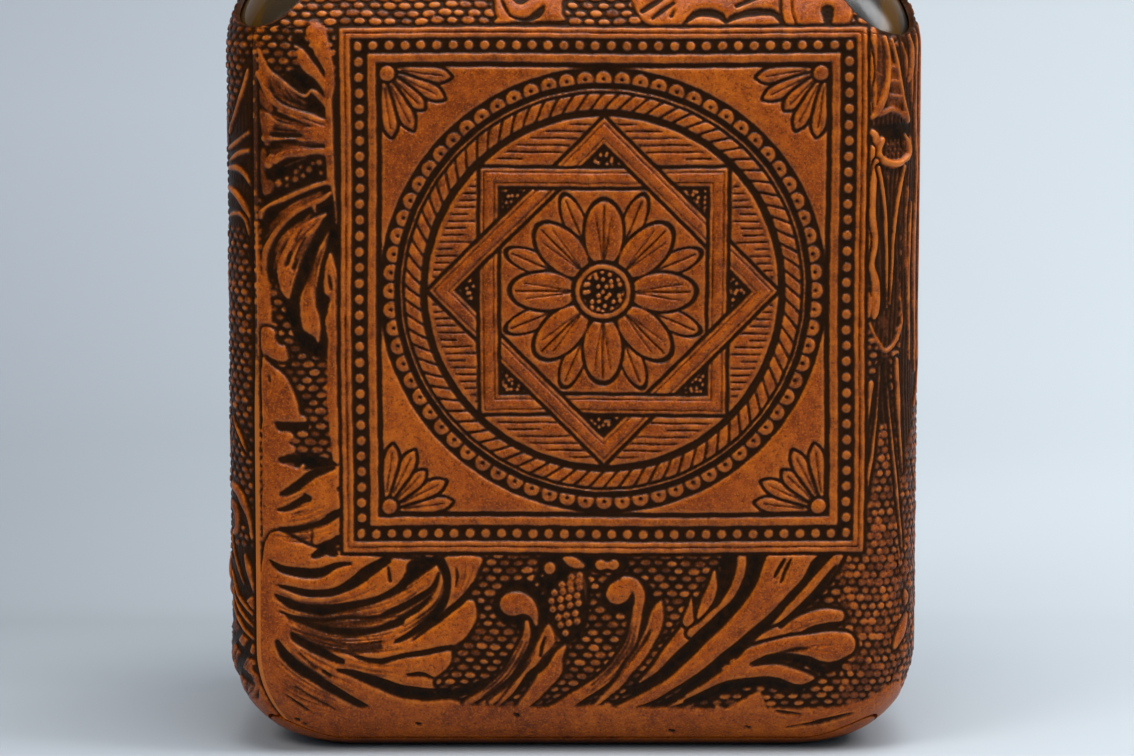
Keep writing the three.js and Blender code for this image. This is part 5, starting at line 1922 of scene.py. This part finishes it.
# Stage, light and camera
stage = {"halfWidth": 3.0, "near": -3.0, "far": 0.35, "bend": 0.6, "height": 2.0}


def backdrop():  # a floor that sweeps up behind
    bend = np.radians(np.linspace(0, 90, 24))
    profile = [(stage["near"], 0.0), (-1.0, 0.0), (0.0, 0.0)]
    profile += [(stage["far"] + stage["bend"] * math.sin(turn), stage["bend"] * (1 - math.cos(turn)))
                for turn in bend]
    profile.append((stage["far"] + stage["bend"], stage["height"]))
    piece = newGrid("backdrop", 3, len(profile))
    sides = (-stage["halfWidth"], 0, stage["halfWidth"])
    setCoords(piece, [(x / mm, y / mm, z / mm) for y, z in profile for x in sides])
    smoothShade(piece, 40)
    return piece


# painted light and shade on the paper: ramps over depth for the left and the right, and an even colour far to
# the sides
paperPaintedLight = {
    "left": ((0.02, (0.35, 0.382, 0.428)), (0.1, (0.153, 0.169, 0.193)), (0.24, (0.209, 0.231, 0.262)),
             (0.7, (0.415, 0.453, 0.507))),
    "right": ((0.02, (0.465, 0.51, 0.54)), (0.12, (0.59, 0.642, 0.68)), (0.5, (0.64, 0.697, 0.734))),
    "far": (0.8, 0.86, 0.9),
}


def paperMaterial():  # painted shade: darker on the left, with painted light and shade changing from front to back; clear from behind
    material, shader = newMaterial("palePaper")
    coords = objectCoords(material)
    place = addNode(material, "ShaderNodeSeparateXYZ", {"Vector": coords}).outputs
    blotch = rangeOf(material, noise(material, coords, 3, 2), 0.3, 0.7, -0.02, 0.02)
    across = maths(material, "ADD", rangeOf(material, place["X"], -0.24, 0.24), blotch)
    back = rangeOf(material, place["Y"], 0.0, 0.9)
    left, right = [ramp(material, back, paperPaintedLight[side]) for side in ("left", "right")]
    aside = rangeOf(material, maths(material, "ABSOLUTE", place["X"], 0.0), 0.4, 1.2)
    paper = mixColour(material, aside, mixColour(material, across, left, right), paperPaintedLight["far"])
    setInput(material, shader, "Base Color", paper)
    shader.inputs["Roughness"].default_value = 0.6
    shader.inputs["Specular IOR Level"].default_value = 0.2
    facing = addNode(material, "ShaderNodeNewGeometry").outputs["Backfacing"]
    clear = addNode(material, "ShaderNodeBsdfTransparent").outputs["BSDF"]
    oneSided = addNode(material, "ShaderNodeMixShader", {0: facing, 1: shader.outputs["BSDF"], 2: clear})
    setInput(material, material.node_tree.nodes["Material Output"], "Surface", oneSided.outputs["Shader"])
    return material


floor = backdrop()
assign(floor, paperMaterial())


white = (1.0, 1.0, 1.0)
lamps = (                       # name, place, height aimed at, size, watts, colour, rays left out
    ("overheadSoftbox", (0.1, -0.15, 0.9), 0.1, (0.7, 0.5), 8.4, white, ""),
    ("keyLeft", (-0.5, -0.6, 0.75), 0.08, (0.35, 0.35), 3.5, (1.0, 0.96, 0.9), "visible_glossy"),
    ("rightStrip", (0.62, -0.14, 0.68), 0.1, (0.35, 0.4), 4.2, (0.96, 0.98, 1.0), ""),
    ("rightGlint", (0.6, -0.7, 0.3), 0.09, (0.15, 0.45), 1.3, white, "visible_diffuse"),
    ("glintLamp", (0.05, -0.35, 0.8), 0.09, (0.12, 0.12), 1.2, white, "visible_diffuse"),
    ("frontFill", (0.1, -1.6, 0.7), 0.08, (1.2, 0.9), 1.8, white, "visible_glossy"),
)
for name, place, level, size, power, colour, leftOut in lamps:
    bpy.ops.object.light_add(type="AREA", location=place)
    lamp = bpy.context.object
    lamp.name = name
    lamp.data.shape = "RECTANGLE"
    lamp.data.size, lamp.data.size_y = size
    lamp.data.energy = power
    lamp.data.color = colour
    lamp.rotation_euler = (math.atan2(math.hypot(place[0], place[1]), place[2] - level), 0,
                           math.atan2(place[0], -place[1]))
    if leftOut:
        setattr(lamp, leftOut, False)

world = bpy.data.worlds.new("studio")
scene.world = world
world.use_nodes = True
sky = world.node_tree.nodes["Background"]
sky.inputs["Color"].default_value = (0.85, 0.93, 1.0, 1.0)
rays = addNode(world, "ShaderNodeLightPath").outputs
dimmed = rangeOf(world, rays["Is Glossy Ray"], 0.0, 1.0, 0.3, 0.04)
pale = rangeOf(world, rays["Is Camera Ray"], 0.0, 1.0, 0.0, 0.72)
setInput(world, sky, "Strength", maths(world, "MAXIMUM", dimmed, pale))

view = {"pitch": 7.0, "distance": 700.0, "front": -36.0, "level": 63.6, "aside": -1.0, "lens": 134.8}
bpy.ops.object.camera_add()
camera = bpy.context.object
camera.name = "photoCamera"
pitch = math.radians(view["pitch"])
camera.location = (view["aside"] * mm, (view["front"] - view["distance"] * math.cos(pitch)) * mm,
                   (view["level"] + view["distance"] * math.sin(pitch)) * mm)
camera.rotation_euler = (math.pi / 2 - pitch, 0, 0)
camera.data.lens = view["lens"]
camera.data.sensor_width = 36
camera.data.clip_start = 0.01
camera.data.dof.use_dof = False
scene.camera = camera
scene.view_settings.view_transform = "Standard"
